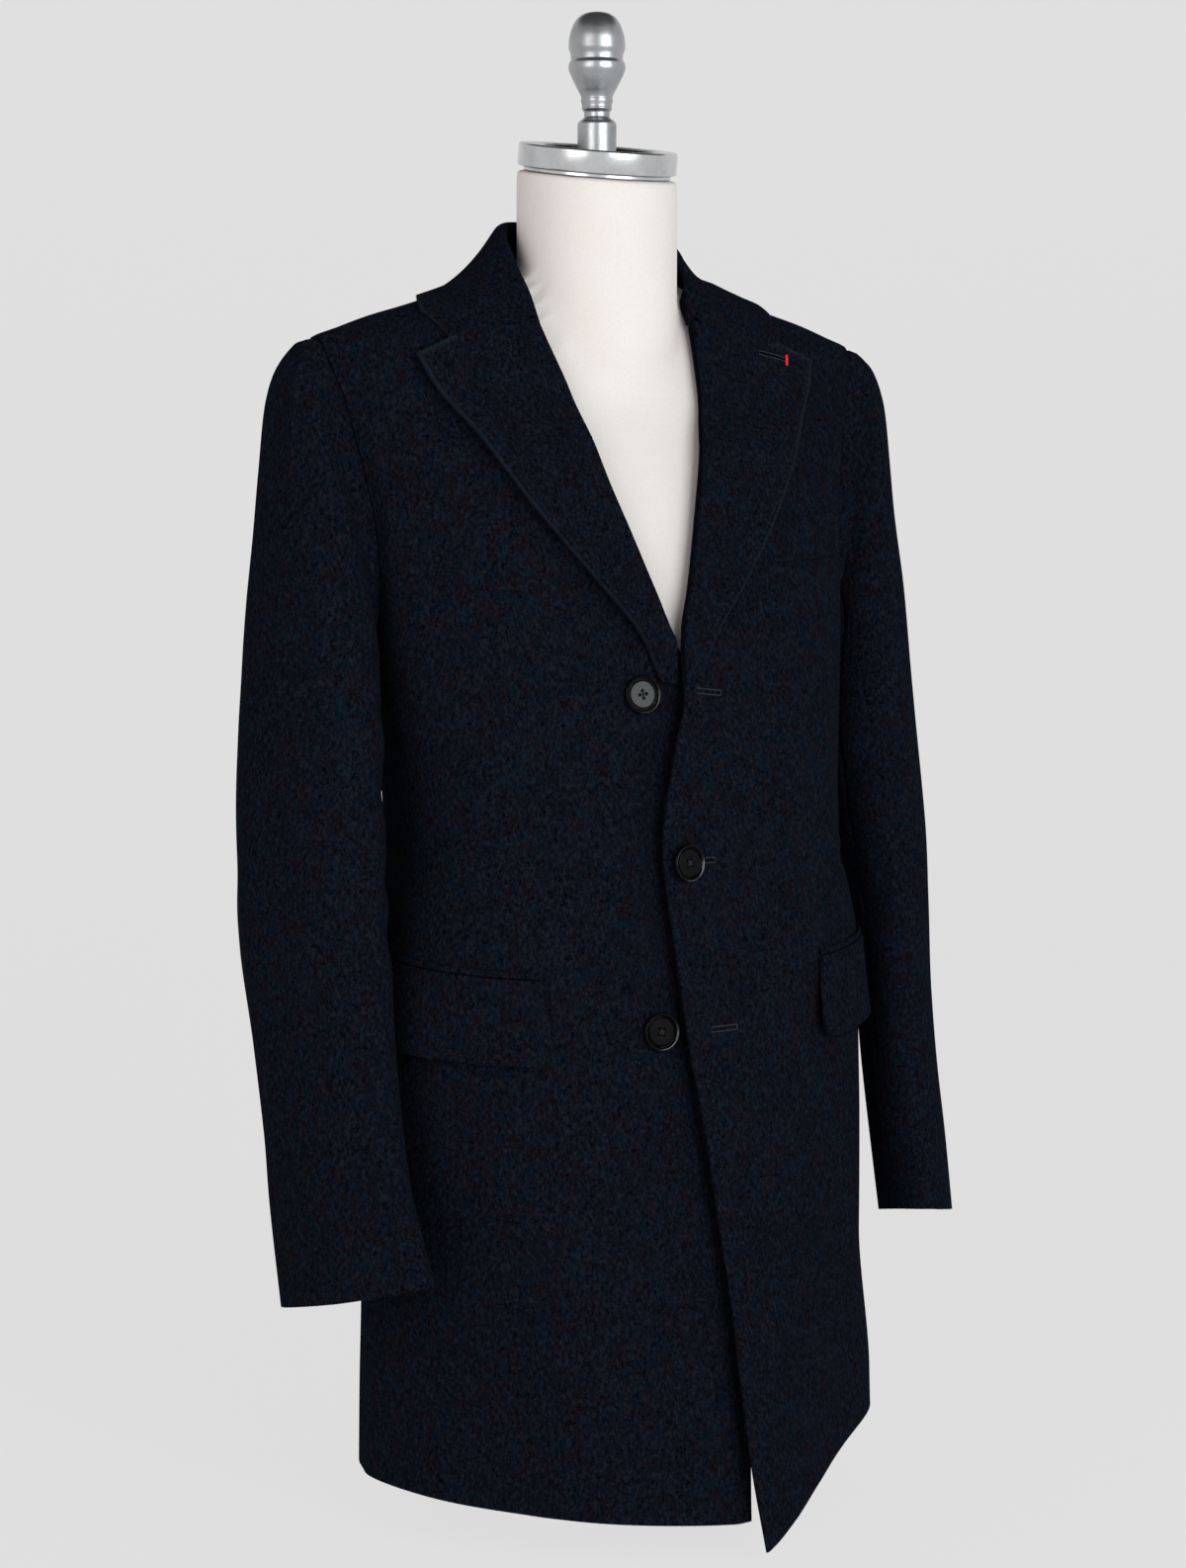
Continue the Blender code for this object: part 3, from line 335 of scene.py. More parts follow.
def show(name, mesh, finish, sharp=None):
    """Puts a mesh on the part; edges that turn more than sharp degrees stay crisp."""
    mesh.shade_smooth()
    if sharp is not None:
        mesh.set_sharp_from_angle(angle=math.radians(sharp))
    mesh.materials.append(finish)
    made = bpy.data.objects.new(name, mesh)
    part.objects.link(made)
    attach(made, "root")
    return made


def from_bmesh(name, form, finish, place=None, sharp=None):
    if place is not None:
        form.transform(place)
    mesh = bpy.data.meshes.new(name)
    form.to_mesh(mesh)
    form.free()
    return show(name, mesh, finish, sharp)


cloths = {}              # the place function and the wall of each cloth piece, for what is sewn on it later


def shell(node, place, edge_highlight=None):
    """Cloth from a grid: place(u, v) gives each point and its outward direction, u across and v up.

    worn(u, v) is 1 along folded edges, where a highlight is painted lighter into the cloth's colour."""
    columns, rows, wall, rim = GRIDS[kind_of(node)]
    name = node + "_cloth"
    cloths[name] = (place, wall)
    grid = bmesh.new()
    bmesh.ops.create_grid(grid, x_segments=columns, y_segments=rows, size=0.5)
    u = np.array([v.co.x for v in grid.verts]) + 0.5
    v = np.array([v.co.y for v in grid.verts]) + 0.5
    points, normals = place(u, v)
    for vert, point in zip(grid.verts, points):
        vert.co = point
    grid.normal_update()
    grid.faces.ensure_lookup_table()
    middle = grid.faces[len(grid.faces) // 2]
    facing = np.mean([normals[vert.index] for vert in middle.verts], axis=0)
    if middle.normal.dot(Vector(facing)) < 0:
        bmesh.ops.reverse_faces(grid, faces=grid.faces)
    made = from_bmesh(name, grid, navy)
    if edge_highlight:
        made.data.attributes.new("edge_highlight", "FLOAT", "POINT").data.foreach_set("value", edge_highlight(u, v))
    thick = made.modifiers.new("cloth thickness", "SOLIDIFY")
    thick.thickness, thick.offset = wall, -1
    soft = made.modifiers.new("soft edges", "BEVEL")
    soft.width, soft.segments, soft.profile = rim, 2, 0.5
    soft.limit_method, soft.angle_limit = "ANGLE", math.radians(50)
    return made


EDGE_SAMPLES, EDGE_STEP = 500, 0.004


def edge_line(name, edge, inset=0.0):
    """A line along one edge of a cloth piece, or inside it: points, outward directions, ways off the edge."""
    place, _ = cloths[name]
    along = np.linspace(EDGE_STEP, 1 - EDGE_STEP, EDGE_SAMPLES)
    wide = np.linalg.norm(place(along * 0 + 1, along)[0] - place(along * 0, along)[0], axis=1)
    if edge in ("bottom", "top"):
        wide = np.linalg.norm(place(along, along * 0 + 1)[0] - place(along, along * 0)[0], axis=1)
    share = np.clip(inset / wide, 0, 0.4)
    start, inner = share, share + EDGE_STEP
    if edge in ("right", "top"):
        start, inner = 1 - start, 1 - inner
    if edge in ("left", "right"):
        (points, normals), (within, _) = place(start, along), place(inner, along)
    else:
        (points, normals), (within, _) = place(along, start), place(along, inner)
    off = points - within
    off = unit(off - normals * np.sum(off * normals, axis=1, keepdims=True))
    return points, normals, off


def spaced(points, pitch):
    """Places along a line, a pitch apart, as row numbers with fractions."""
    run = np.concatenate([[0], np.cumsum(np.linalg.norm(np.diff(points, axis=0), axis=1))])
    return np.interp(np.arange(pitch / 2, run[-1], pitch), run, np.arange(len(points)))


def read_rows(rows, at):
    """Rows of a table at row numbers with fractions."""
    low = np.clip(at.astype(int), 0, len(rows) - 2)
    return lerp(rows[low], rows[low + 1], (at - low)[:, None])


def rounded_bar():
    """A bar of length, width and height 1 along X, round all over: a stitch before it is sized."""
    form = bmesh.new()
    bmesh.ops.create_uvsphere(form, u_segments=6, v_segments=5, radius=0.5)
    bmesh.ops.rotate(form, verts=form.verts, matrix=Matrix.Rotation(math.pi / 2, 3, "Y"))
    return form


def fibre():
    """A three-sided spike, 1 long from its root along X."""
    form = bmesh.new()
    bmesh.ops.create_cone(form, cap_ends=True, segments=3, radius1=0.5, radius2=0, depth=1)
    bmesh.ops.remove_doubles(form, verts=form.verts, dist=0.0001)
    bmesh.ops.translate(form, verts=form.verts, vec=(0, 0, 0.5))
    bmesh.ops.rotate(form, verts=form.verts, matrix=Matrix.Rotation(math.pi / 2, 3, "Y"))
    return form


def many(name, form, places, along, up, sizes, finish):
    """One mesh of many copies of a small form; along is each copy's X, up its Z, sizes its three sides."""
    corners = np.array([v.co for v in form.verts])
    faces = [[v.index for v in face.verts] for face in form.faces]
    form.free()
    along, across = unit(along), unit(np.cross(up, along))
    above = np.cross(along, across)
    sizes = np.broadcast_to(sizes, (len(places), 3))
    spread = np.repeat(places[:, None], len(corners), axis=1)
    for axis, way in enumerate((along, across, above)):
        spread = spread + corners[None, :, axis, None] * (way * sizes[:, axis, None])[:, None]
    copies = [[corner + len(corners) * i for corner in face] for i in range(len(places)) for face in faces]
    mesh = bpy.data.meshes.new(name)
    mesh.from_pydata(spread.reshape(-1, 3), [], copies)
    return show(name, mesh, finish)


def finish_cloth(made, node):
    """Hides the solid that the cloth stands for."""
    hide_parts(node)


# ------------------------------------------------------------------ shader maths

class Flow:
    """A node socket that +, -, *, smooth and mix work on, each by adding a node of its own."""

    def __init__(self, tree, socket):
        self.tree, self.socket = tree, socket

    def node(self, kind, settings=None, out=0, **values):
        """A new node with its settings and inputs; i0, i1 and so on name an input by its number."""
        made = self.tree.nodes.new(kind)
        for name, value in (settings or {}).items():
            setattr(made, name, value)
        for name, value in values.items():
            key = int(name[1:]) if name[1:].isdigit() and name[0] == "i" else name.replace("_", " ")
            socket = made.inputs[key]
            if isinstance(value, Flow):
                self.tree.links.new(value.socket, socket)
            else:
                socket.default_value = value
        return Flow(self.tree, made.outputs[out])

    def maths(self, operation, a, b):
        return self.node("ShaderNodeMath", {"operation": operation}, i0=a, i1=b)

    def __add__(self, other):
        return self.maths("ADD", self, other)

    def __mul__(self, other):
        return self.maths("MULTIPLY", self, other)

    def __rsub__(self, other):
        return self.maths("SUBTRACT", other, self)

    def smooth(self, low, high):
        return self.node("ShaderNodeMapRange", {"interpolation_type": "SMOOTHSTEP"}, Value=self,
                         From_Min=low, From_Max=high)

    def mix(self, a, b):
        """From a to b as this goes from 0 to 1."""
        return self.node("ShaderNodeMix", {"data_type": "RGBA"}, out=2, i0=self, i6=a, i7=b)


def new_material(name, colour, roughness, metallic=0.0, **fixed):
    """A Principled material, and what varies it: a flow of nodes, noise to read and feed for its inputs."""
    made = bpy.data.materials.new(name)
    made.use_nodes = True
    shader = made.node_tree.nodes["Principled BSDF"]
    shader.inputs["Base Color"].default_value = (*colour, 1)
    shader.inputs["Roughness"].default_value = roughness
    shader.inputs["Metallic"].default_value = metallic
    for key, value in fixed.items():
        shader.inputs[key.replace("_", " ")].default_value = value
    flow = Flow(made.node_tree, None)
    place = flow.node("ShaderNodeTexCoord", out=3)

    def noise(scale, detail=2.0, rough=0.5, distortion=0.0, stretch=None):
        at = place
        if stretch:
            at = flow.node("ShaderNodeMapping", Vector=place, Scale=stretch)
        return flow.node("ShaderNodeTexNoise", Vector=at, Scale=scale, Detail=detail, Roughness=rough,
                         Distortion=distortion)

    def feed(**sockets):
        for key, value in sockets.items():
            made.node_tree.links.new(value.socket, shader.inputs[key.replace("_", " ")])

    return made, flow, noise, feed


def wool():
    """Felted melton: dark navy with teal and brown fibres, and a short nap brushed downwards."""
    made, flow, noise, feed = new_material("navy_wool", (0.003, 0.004, 0.007), 1.0, Specular_IOR_Level=0.0,
                                           Sheen_Weight=0.010, Sheen_Roughness=0.5,
                                           Sheen_Tint=(0.45, 0.55, 0.75, 1))
    fibre = noise(1300, 2.0, 0.7, 0.0, (1, 1, 0.45))
    tuft = noise(430, 2.0, 0.65, 0.4, (1, 1, 0.60))
    tint = noise(95, 3.0, 0.62)
    cloud = noise(30, 3.0, 0.6)
    colour = tint.smooth(0.42, 0.60).mix((0.0044, 0.0032, 0.0048, 1), (0.0022, 0.0047, 0.0092, 1))
    colour = (cloud.smooth(0.42, 0.62) * 0.7).mix(colour, (0.0028, 0.0037, 0.0072, 1))
    pits = (tuft.smooth(0.48, 0.32) * 0.80).mix(colour, (0.0004, 0.0005, 0.0010, 1))
    tips = (tuft.smooth(0.50, 0.66) * 0.62).mix(pits, (0.0088, 0.0112, 0.0180, 1))
    colour = (fibre.smooth(0.50, 0.70) * 0.50).mix(tips, (0.0112, 0.0140, 0.0215, 1))
    # Painted highlight: the cloth is coloured lighter along folded edges, where they catch the light.
    painted_edge_highlight = flow.node("ShaderNodeAttribute", {"attribute_name": "edge_highlight"}, out=2)
    colour = (painted_edge_highlight * (tuft.smooth(0.30, 0.60) * 0.4 + 0.5)).mix(colour, (0.0088, 0.0115, 0.0172, 1))
    height = fibre * 0.45 + tuft * 0.9 + cloud * 0.5
    nap = flow.node("ShaderNodeBump", Height=height, Strength=0.8, Distance=0.0008)
    feed(Base_Color=colour, Normal=nap)
    return made


def thread_finish(name, colour):
    """Twisted thread or a loose fibre, its plies a little lighter."""
    made, flow, noise, feed = new_material(name, colour, 0.6, Specular_IOR_Level=0.3)
    ply = noise(2600, 1.0, 0.5)
    light = tuple(min(c * 1.7 + 0.004, 1) for c in colour)
    feed(Base_Color=ply.smooth(0.35, 0.65).mix((*colour, 1), (*light, 1)),
         Normal=flow.node("ShaderNodeBump", Height=ply, Strength=0.6, Distance=0.0003))
    return made


def plain_dark():
    """A dark sheet painted where the inside of a cut slit lies in shade."""
    made, _, noise, feed = new_material("painted_slit_shade", (0.001, 0.001, 0.002), 1.0, Specular_IOR_Level=0.0)
    feed(Base_Color=noise(900).smooth(0.3, 0.7).mix((0.0006, 0.0007, 0.0010, 1), (0.0016, 0.0018, 0.0028, 1)))
    return made


def horn_finish():
    """Black horn. The rim attribute is 1 at the outer edge, and polish is the gloss coat that paints
    highlights: on one side of each rim, and on some faces.
    """
    made, flow, noise, feed = new_material("black_button", (0.004, 0.004, 0.0045), 0.22,
                                           Specular_IOR_Level=0.03, Coat_Roughness=0.09)
    rim = flow.node("ShaderNodeAttribute", {"attribute_name": "rim"}, out=2).smooth(0.68, 0.73)
    highlight_coat = flow.node("ShaderNodeAttribute", {"attribute_name": "highlight_coat"}, out=2)
    grain = noise(240, 3.0, 0.6, 0.8)
    face = grain.smooth(0.3, 0.75).mix((0.0022, 0.0020, 0.0022, 1), (0.0046, 0.0042, 0.0046, 1))
    feed(Base_Color=rim.mix(face, (0.0015, 0.0015, 0.0018, 1)), Coat_Weight=highlight_coat,
         Roughness=(1 - rim) * (grain * 0.12 + 0.24) + 0.10,
         Normal=flow.node("ShaderNodeBump", Height=grain * (1 - rim), Strength=0.12, Distance=0.0002))
    return made


def canvas_finish():
    """Plain-woven ecru cloth, stretched smooth."""
    made, flow, noise, feed = new_material("ecru_canvas", (0.80, 0.75, 0.70), 0.85, Specular_IOR_Level=0.2,
                                           Sheen_Weight=0.04)
    slub = noise(420, 3.0, 0.6, 0.0, (1.0, 1.0, 3.0))
    warp = noise(420, 3.0, 0.6, 0.0, (3.0, 3.0, 1.0))
    drift = noise(14, 3.0, 0.5)
    weave = slub * 0.5 + warp * 0.5
    tone = weave.smooth(0.35, 0.65) * 0.7 + drift.smooth(0.3, 0.7) * 0.3
    feed(Base_Color=tone.mix((0.640, 0.578, 0.548, 1), (0.700, 0.641, 0.616, 1)),
         Normal=flow.node("ShaderNodeBump", Height=weave, Strength=0.35, Distance=0.0004))
    return made


def metal_finish(name, colour, low, high, grain):
    """Satin metal; where the well attribute is 1 it is painted matt black."""
    made, flow, noise, feed = new_material(name, colour, 0.3, 1.0)
    well = flow.node("ShaderNodeAttribute", {"attribute_name": "well"}, out=2)
    turned = noise(60, 2.0, 0.5, 0.0, grain)
    smear = noise(38, 4.0, 0.65)
    tone = smear.smooth(0.3, 0.75)
    dark = tuple(c * 0.72 for c in colour)
    feed(Base_Color=well.mix(tone.mix((*colour, 1), (*dark, 1)), (0.012, 0.012, 0.013, 1)),
         Roughness=smear.smooth(0.25, 0.8) * (high - low) + low,
         Normal=flow.node("ShaderNodeBump", Height=turned, Strength=0.12, Distance=0.0003))
    return made


def iron_finish():
    """Grey enamel on a casting."""
    made, flow, noise, feed = new_material("painted_iron", (0.55, 0.55, 0.55), 0.45)
    orange = noise(300, 2.0, 0.5)
    drift = noise(20, 4.0, 0.6)
    feed(Base_Color=drift.smooth(0.3, 0.7).mix((0.52, 0.52, 0.52, 1), (0.60, 0.60, 0.60, 1)),
         Roughness=drift * 0.2 + 0.35,
         Normal=flow.node("ShaderNodeBump", Height=orange, Strength=0.15, Distance=0.0003))
    return made


navy = wool()
thread = thread_finish("navy_thread", (0.0065, 0.0092, 0.0130))
teal_thread = thread_finish("teal_thread", (0.0085, 0.0150, 0.0200))
red_thread = thread_finish("red_thread", (0.55, 0.006, 0.016))
painted_slit_shade = plain_dark()
edge_tip = thread_finish("edge_tip", (0.0090, 0.0125, 0.0175))
nap_tip = thread_finish("nap_tip", (0.0060, 0.0080, 0.0120))
horn = horn_finish()
ecru = canvas_finish()
steel = metal_finish("brushed_metal", (0.64, 0.645, 0.655), 0.18, 0.34, (1, 1, 24))
# A darker copy of the same steel for the finial: painted shade that keeps its highlights from burning out.
shaded_finial_steel = metal_finish("finial_metal", (0.42, 0.43, 0.445), 0.24, 0.42, (1, 1, 24))
iron = iron_finish()

# ------------------------------------------------------------------ the body of the coat

DART_LOW_X, DART_TOP_X, DART_LOW, DART_HIGH = 0.1300, 0.1419, 0.428, 0.648
ARM_LOW = ARM_CENTRE_Z - ARM_HALF_HEIGHT
TUCK_ANGLE, TUCK_DEPTH = 0.010, 0.0026       # how far one piece runs on under its neighbour at a seam
ARM_GAP, CENTRE_GAP = 0.0006, 0.0008         # angles that are left free at the side and at the centre back


def arm_phi(level):
    """Where round the armhole a height lies: 0 at its top, 180 degrees at its foot."""
    return np.arccos(np.clip((level - ARM_CENTRE_Z) / ARM_HALF_HEIGHT, -1, 1))


def side_angle(level, way):
    """Where a panel ends at the side: the side seam, the armhole or the shoulder seam; way +1 is front."""
    y, height = armhole(way * arm_phi(level))
    beside = angle_at_y(y, height)
    low_y, low_z = armhole(np.array(np.pi))
    seam = lerp(SIDE_SEAM, angle_at_y(low_y, low_z), ease(level, 0.50, ARM_LOW))
    above = level > ARM_CENTRE_Z + ARM_HALF_HEIGHT
    return np.where(level < ARM_LOW, seam, np.where(above, np.pi / 2, beside))


def body_height(level, bottom):
    return np.where(level >= HEM_BLEND, level, lerp(bottom, HEM_BLEND, level / HEM_BLEND))


def body_level(v):
    """Heights of the rows: evenly spread, but closer at the two ends of the armhole."""
    return body_rows.at(v)[0]


body_rows = Profile(((0.0, 0.0), (0.50, 0.600), (0.60, 0.6515), (0.70, 0.735), (0.80, 0.820), (0.88, 0.861),
                     (1.0, SHOULDER_TOP)))


def body_folds(sign, height, angle):
    """Soft troughs and ridges of a hanging body panel, along its outward direction."""
    arm = bump(angle, sign * 1.25, 0.30) * ease(height, 0.50, 0.62) * (1 - ease(height, 0.74, 0.84))
    skirt = 1 - ease(height, 0.18, 0.42)
    waves = 0.0016 * np.sin(angle * 7.0 + 0.9 * sign) + 0.0009 * np.sin(angle * 12.0 + 2.0)
    waist = bump(height, 0.485, 0.030) * bump(np.abs(angle), 1.25, 0.55)
    return 0.0024 * arm + waves * skirt + 0.0010 * waist * np.sin(height * 260)


def dart(x, height):
    """The waist dart: a sewn line with the cloth a little full beside it."""
    along = ease(height, DART_LOW - 0.002, DART_LOW + 0.004) * (1 - ease(height, DART_HIGH - 0.03, DART_HIGH))
    slant = lerp(DART_LOW_X, DART_TOP_X, (height - DART_LOW) / (DART_HIGH - DART_LOW))
    away = np.abs(np.abs(x) - slant)
    return along * (-0.0010 * np.exp(-(away / 0.0011) ** 2) + 0.0005 * np.exp(-((away - 0.005) / 0.004) ** 2))


def make_front(left):
    sign = 1 if left else -1
    edge_table, bottom = (left_edge, left_hem) if left else (right_edge, hem)

    def place(u, v):
        level = body_level(v)
        start = front_angle(edge_table.at(level)[0], level)
        end = sign * (side_angle(level, 1) - ARM_GAP)
        angle = lerp(start, end, u)
        height = body_height(level, bottom.at(np.degrees(angle))[0])
        point, normal = front_point(left, angle, height)
        clear = ease(np.abs(angle - start), 0.05, 0.35) * ease(np.abs(end - angle), 0.0, 0.12)
        fold = body_folds(sign, height, angle) * clear * (1 - ease(height, 0.80, 0.86))
        fold = fold * (1 - bump(height, 0.39, 0.10) * bump(np.abs(angle), 1.0, 0.9))
        fold = fold + dart(point[..., 0], height)
        if left:
            inside = np.abs(angle - start) * 0.13
            fold = fold + 0.0010 * (1 - ease(inside, 0.0, 0.010)) * (1 - ease(height, 0.60, 0.64))
            fold = fold - 0.0004 * np.exp(-((inside - 0.0050) / 0.0014) ** 2)
        else:
            beside = point[..., 0] - left_edge.at(height)[0]
            trough = bump(beside, 0.004, 0.034) * (1 - ease(height, 0.60, 0.64)) * ease(height, 0.17, 0.34)
            outside = -point[..., 0] - lapel_reach.at(height)[0]
            under = bump(outside, 0.008, 0.022) * ease(height, 0.62, 0.68) * (1 - ease(height, 0.81, 0.85))
            fold = fold - 0.0070 * trough - 0.0024 * under
        return point + normal * fold[..., None], normal

    return shell(sided("front", left), place)


def make_back(left):
    sign = 1 if left else -1

    def place(u, v):
        level = body_level(v)
        side = side_angle(level, -1)
        seamed = (level < ARM_LOW) | (level > ARM_CENTRE_Z + ARM_HALF_HEIGHT)
        start = sign * (side + np.where(seamed, -TUCK_ANGLE, ARM_GAP))
        centre = np.pi + TUCK_ANGLE if left else np.pi - CENTRE_GAP
        angle = lerp(start, sign * centre, u)
        height = body_height(level, (left_hem if left else hem).at(np.degrees(angle))[0])
        normal = outward(angle, height)
        clear = ease(np.abs(angle - start), 0.0, 0.25) * ease(np.pi - np.abs(angle), 0.0, 0.3)
        fold = body_folds(sign, height, angle) * clear * (1 - ease(height, 0.80, 0.86))
        seam = -0.0009 * np.exp(-(((np.pi - np.abs(angle)) * 0.12) / 0.0016) ** 2)
        tuck = seamed * (1 - ease(np.abs(angle) - side, -TUCK_ANGLE, TUCK_ANGLE))
        if left:
            tuck = tuck + ease(np.abs(angle) - np.pi, -TUCK_ANGLE, TUCK_ANGLE)
        reach = skirt_flare(angle, height) + fold + seam - TUCK_DEPTH * tuck
        return coat_point(angle, height) + normal * reach[..., None], normal

    node = sided("back", left)
    finish_cloth(shell(node, place), node)


# ------------------------------------------------------------------ lapels and collar

LAPEL_CLEAR, LAPEL_CURL = 0.0006, 0.0052     # how far a lapel lies off the front, and its free edge lifts


def lapel_belly(u, v=1.0):
    """How far the lapel's face swells: most at its roll, and a little over the rest."""
    return 0.0022 * (1 - u) ** 2 * ease(v, 0.0, 0.12) + 0.0012 * ease(u, 0.1, 0.3)


def lapel_place(left):
    """Where the points of a lapel lie: u from its roll to its free edge, v from its foot to the gorge."""
    sign = 1 if left else -1
    edge_table = left_edge if left else right_edge

    def place(u, v):
        roll_z = lerp(LAPEL_BREAK, LAPEL_GORGE, v)
        roll_x = edge_table.at(roll_z)[0]
        if not left:
            roll_x = np.minimum(roll_x, -0.002)
        outer_x, outer_z = lapel_edge.at(v)
        x, z = lerp(roll_x, outer_x * sign, u), lerp(roll_z, outer_z, u)
        gorge_s = (NOTCH[0] - GORGE_X) / (LAPEL_EDGE[-1][1] - GORGE_X)
        straight = lerp(LAPEL_GORGE, LAPEL_TIP, gorge_s)
        z = z + (NOTCH[1] - straight) * np.where(u < gorge_s, u / gorge_s, (1 - u) / (1 - gorge_s)) * v ** 6
        point, normal = front_surface(left, x, z)
        curl = LAPEL_CURL * ease(u, 0.50, 1.0) * ease(v, 0.04, 0.30) * (1 - 0.4 * ease(v, 0.85, 1.0))
        return point + normal * (LAPEL_WALL + LAPEL_CLEAR + lapel_belly(u, v) + curl)[..., None], normal

    return place


def make_lapel(left):
    base = lapel_place(left)

    def place(u, v):
        point, normal = base(u, v)
        free = (1 - u) * 0.10
        pick = -0.00035 * np.exp(-((free - 0.0042) / 0.0012) ** 2) * ease(v, 0.02, 0.1)
        return point + normal * pick[..., None], normal

    # Where the painted edge highlight lies: along the free edge and the top, fading out at the foot.
    def edge_highlight(u, v):
        free_edge, top = ease(u, 0.965, 0.985), ease(v, 0.985, 0.993) * ease(u, 0.66, 0.70)
        return np.maximum(free_edge, top) * ease(v, 0.0, 0.1)

    node = sided("lapel", left)
    finish_cloth(shell(node, place, edge_highlight), node)


def lying(place, depth):
    """Points moved up until a wall of this depth, hanging from them, clears the coat."""
    x, y, step = place[..., 0], place[..., 1], 0.002
    across = (shoulder_height(x + step, y) - shoulder_height(x - step, y)) / (2 * step)
    along = (shoulder_height(x, y + step) - shoulder_height(x, y - step)) / (2 * step)
    z = shoulder_height(x, y) + depth * np.sqrt(1 + across ** 2 + along ** 2)
    return spot(x, y, np.maximum(place[..., 2], z))


NOTCH_U = 0.68           # how far across the lapel its notch lies
RIGHT_SPREAD, LEFT_SPREAD = 0.0082, -0.0036  # how much wider than the table each half of the collar stands
STAND_ROUND, LEAF_ROUND = 0.0032, 0.0038     # the fold's rounding towards the stand and towards the leaf
LEAF_SAG = 0.016
LEAF_SHARES = (0.0, 0.22, 0.44, 0.66, GORGE_SHARE, 0.91, 1.0)
COLLAR_SECTIONS, COLLAR_LINES = 240, 4 + len(LEAF_SHARES)     # spans across, and spans from seam to leaf edge


def gorge_line(share, fold, leaf):
    """The collar's front end: along the lapel's top edge to the notch, then out to the leaf's corner."""
    def on_lapel(part_way):
        x = lerp(fold[..., 0], NOTCH[0], part_way)
        z = lerp(LAPEL_GORGE, NOTCH[1], part_way) - 0.0014
        point, normal = front_surface(True, x, z)
        over = LAPEL_WALL + 0.0012 + lapel_belly(part_way * NOTCH_U)
        return point + normal * over - np.array((0, AXIS_Y, 0))

    if share < GORGE_SHARE:
        return on_lapel(share / GORGE_SHARE)
    notch = on_lapel(0.999)
    return lying(lerp(notch, leaf, (share - GORGE_SHARE) / (1 - GORGE_SHARE)), COLLAR_WALL + 0.0014)


def collar_lines(t):
    """The collar's visible side at many places, as lines from the neck seam over the fold to the leaf."""
    side, t = np.where(t < 0, -1.0, 1.0), np.abs(t)
    sizes = collar.at(t)
    shift = np.where(side < 0, RIGHT_SPREAD * ease(t, 0.30, 0.90), LEFT_SPREAD * ease(t, 0.70, 0.96))
    fold = spot(sizes[0] + shift, *sizes[1:3])
    seam = spot(sizes[3] + shift * ease(t, 0.80, 0.96), *sizes[4:6])
    leaf = lying(spot(sizes[6] + shift, sizes[7], 0 * t), COLLAR_WALL + 0.0010)
    away = unit(spot(leaf[..., 0] - fold[..., 0], leaf[..., 1] - fold[..., 1], 0))
    front = ease(t, 0.80, 1.0)[:, None]
    top = fold - away * STAND_ROUND + np.array((0, 0, -0.0040))
    outer = lying(fold + away * LEAF_ROUND + np.array((0, 0, -0.0004)), COLLAR_WALL + 0.0012)
    lines = [seam, lerp(seam, top, 0.5), top, fold, outer]
    start = fold + away * LEAF_ROUND * 2 + np.array((0, 0, -0.0042))
    for share in LEAF_SHARES:
        sag = spot(0, 0, LEAF_SAG * share * (1 - share) * (1 - front[:, 0]))
        straight = lying(lerp(start, leaf, share) - sag, COLLAR_WALL + 0.0010)
        place = lerp(straight, gorge_line(share, start, leaf), front)
        lines.append(np.where(front < 1, lying(place, COLLAR_WALL + 0.0016), place))
    lines = np.stack(lines, axis=1)
    lines[..., 0] *= side[:, None]
    lines[..., 1] += AXIS_Y
    return lines


def make_collar():
    sections = collar_lines(np.linspace(-1, 1, COLLAR_SECTIONS + 1))

    def line_point(u, v):
        """Read smoothly through the points of the collar's section at this place."""
        across, down = u * COLLAR_SECTIONS, v * COLLAR_LINES
        i = np.clip(down.astype(int), 0, COLLAR_LINES - 1)
        f = (down - i)[:, None]
        section = np.clip(across.astype(int), 0, COLLAR_SECTIONS - 1)
        lines = lerp(sections[section], sections[section + 1], (across - section)[:, None, None])
        rows = np.arange(len(u))
        a, b, c, d = (lines[rows, np.clip(i + k, 0, COLLAR_LINES)] for k in (-1, 0, 1, 2))
        return b + 0.5 * f * (c - a + f * (2 * a - 5 * b + 4 * c - d + f * (3 * (b - c) + d - a)))

    def place(u, v):
        step = 0.004
        across = line_point(np.minimum(u + step, 1), v) - line_point(np.maximum(u - step, 0), v)
        down = line_point(u, np.minimum(v + step, 1)) - line_point(u, np.maximum(v - step, 0))
        return line_point(u, v), unit(np.cross(across, down))

    # Where the painted edge highlight lies: along the leaf edge and at the collar's two ends.
    def edge_highlight(u, v):
        leaf_edge, ends = ease(v, 0.965, 0.985), ease(abs(2 * u - 1), 0.985, 0.995) * ease(v, 0.80, 0.86)
        return np.maximum(leaf_edge, ends)

    finish_cloth(shell("collar", place, edge_highlight), "collar")


# ------------------------------------------------------------------ sleeves

ELBOW_BREAKS = (  # row, depth, half width in rows, slant of each crease at the inner elbow
    (8.4, 0.0030, 0.42, 0.30), (9.15, 0.0022, 0.36, -0.25), (9.9, 0.0026, 0.45, 0.35),
    (7.6, 0.0016, 0.40, 0.20),
)
SLEEVE_STEP, STEP_ARC = 15, 0.26 * 0.06      # degrees, and metres of cloth, of one step round the sleeve
TOP_MARGIN, UNDER_MARGIN = 0.012, -0.09      # steps: the under piece runs on under the top one
LAST_ROW = (13.92, 14.0)                     # the cuffs' rows, left and right


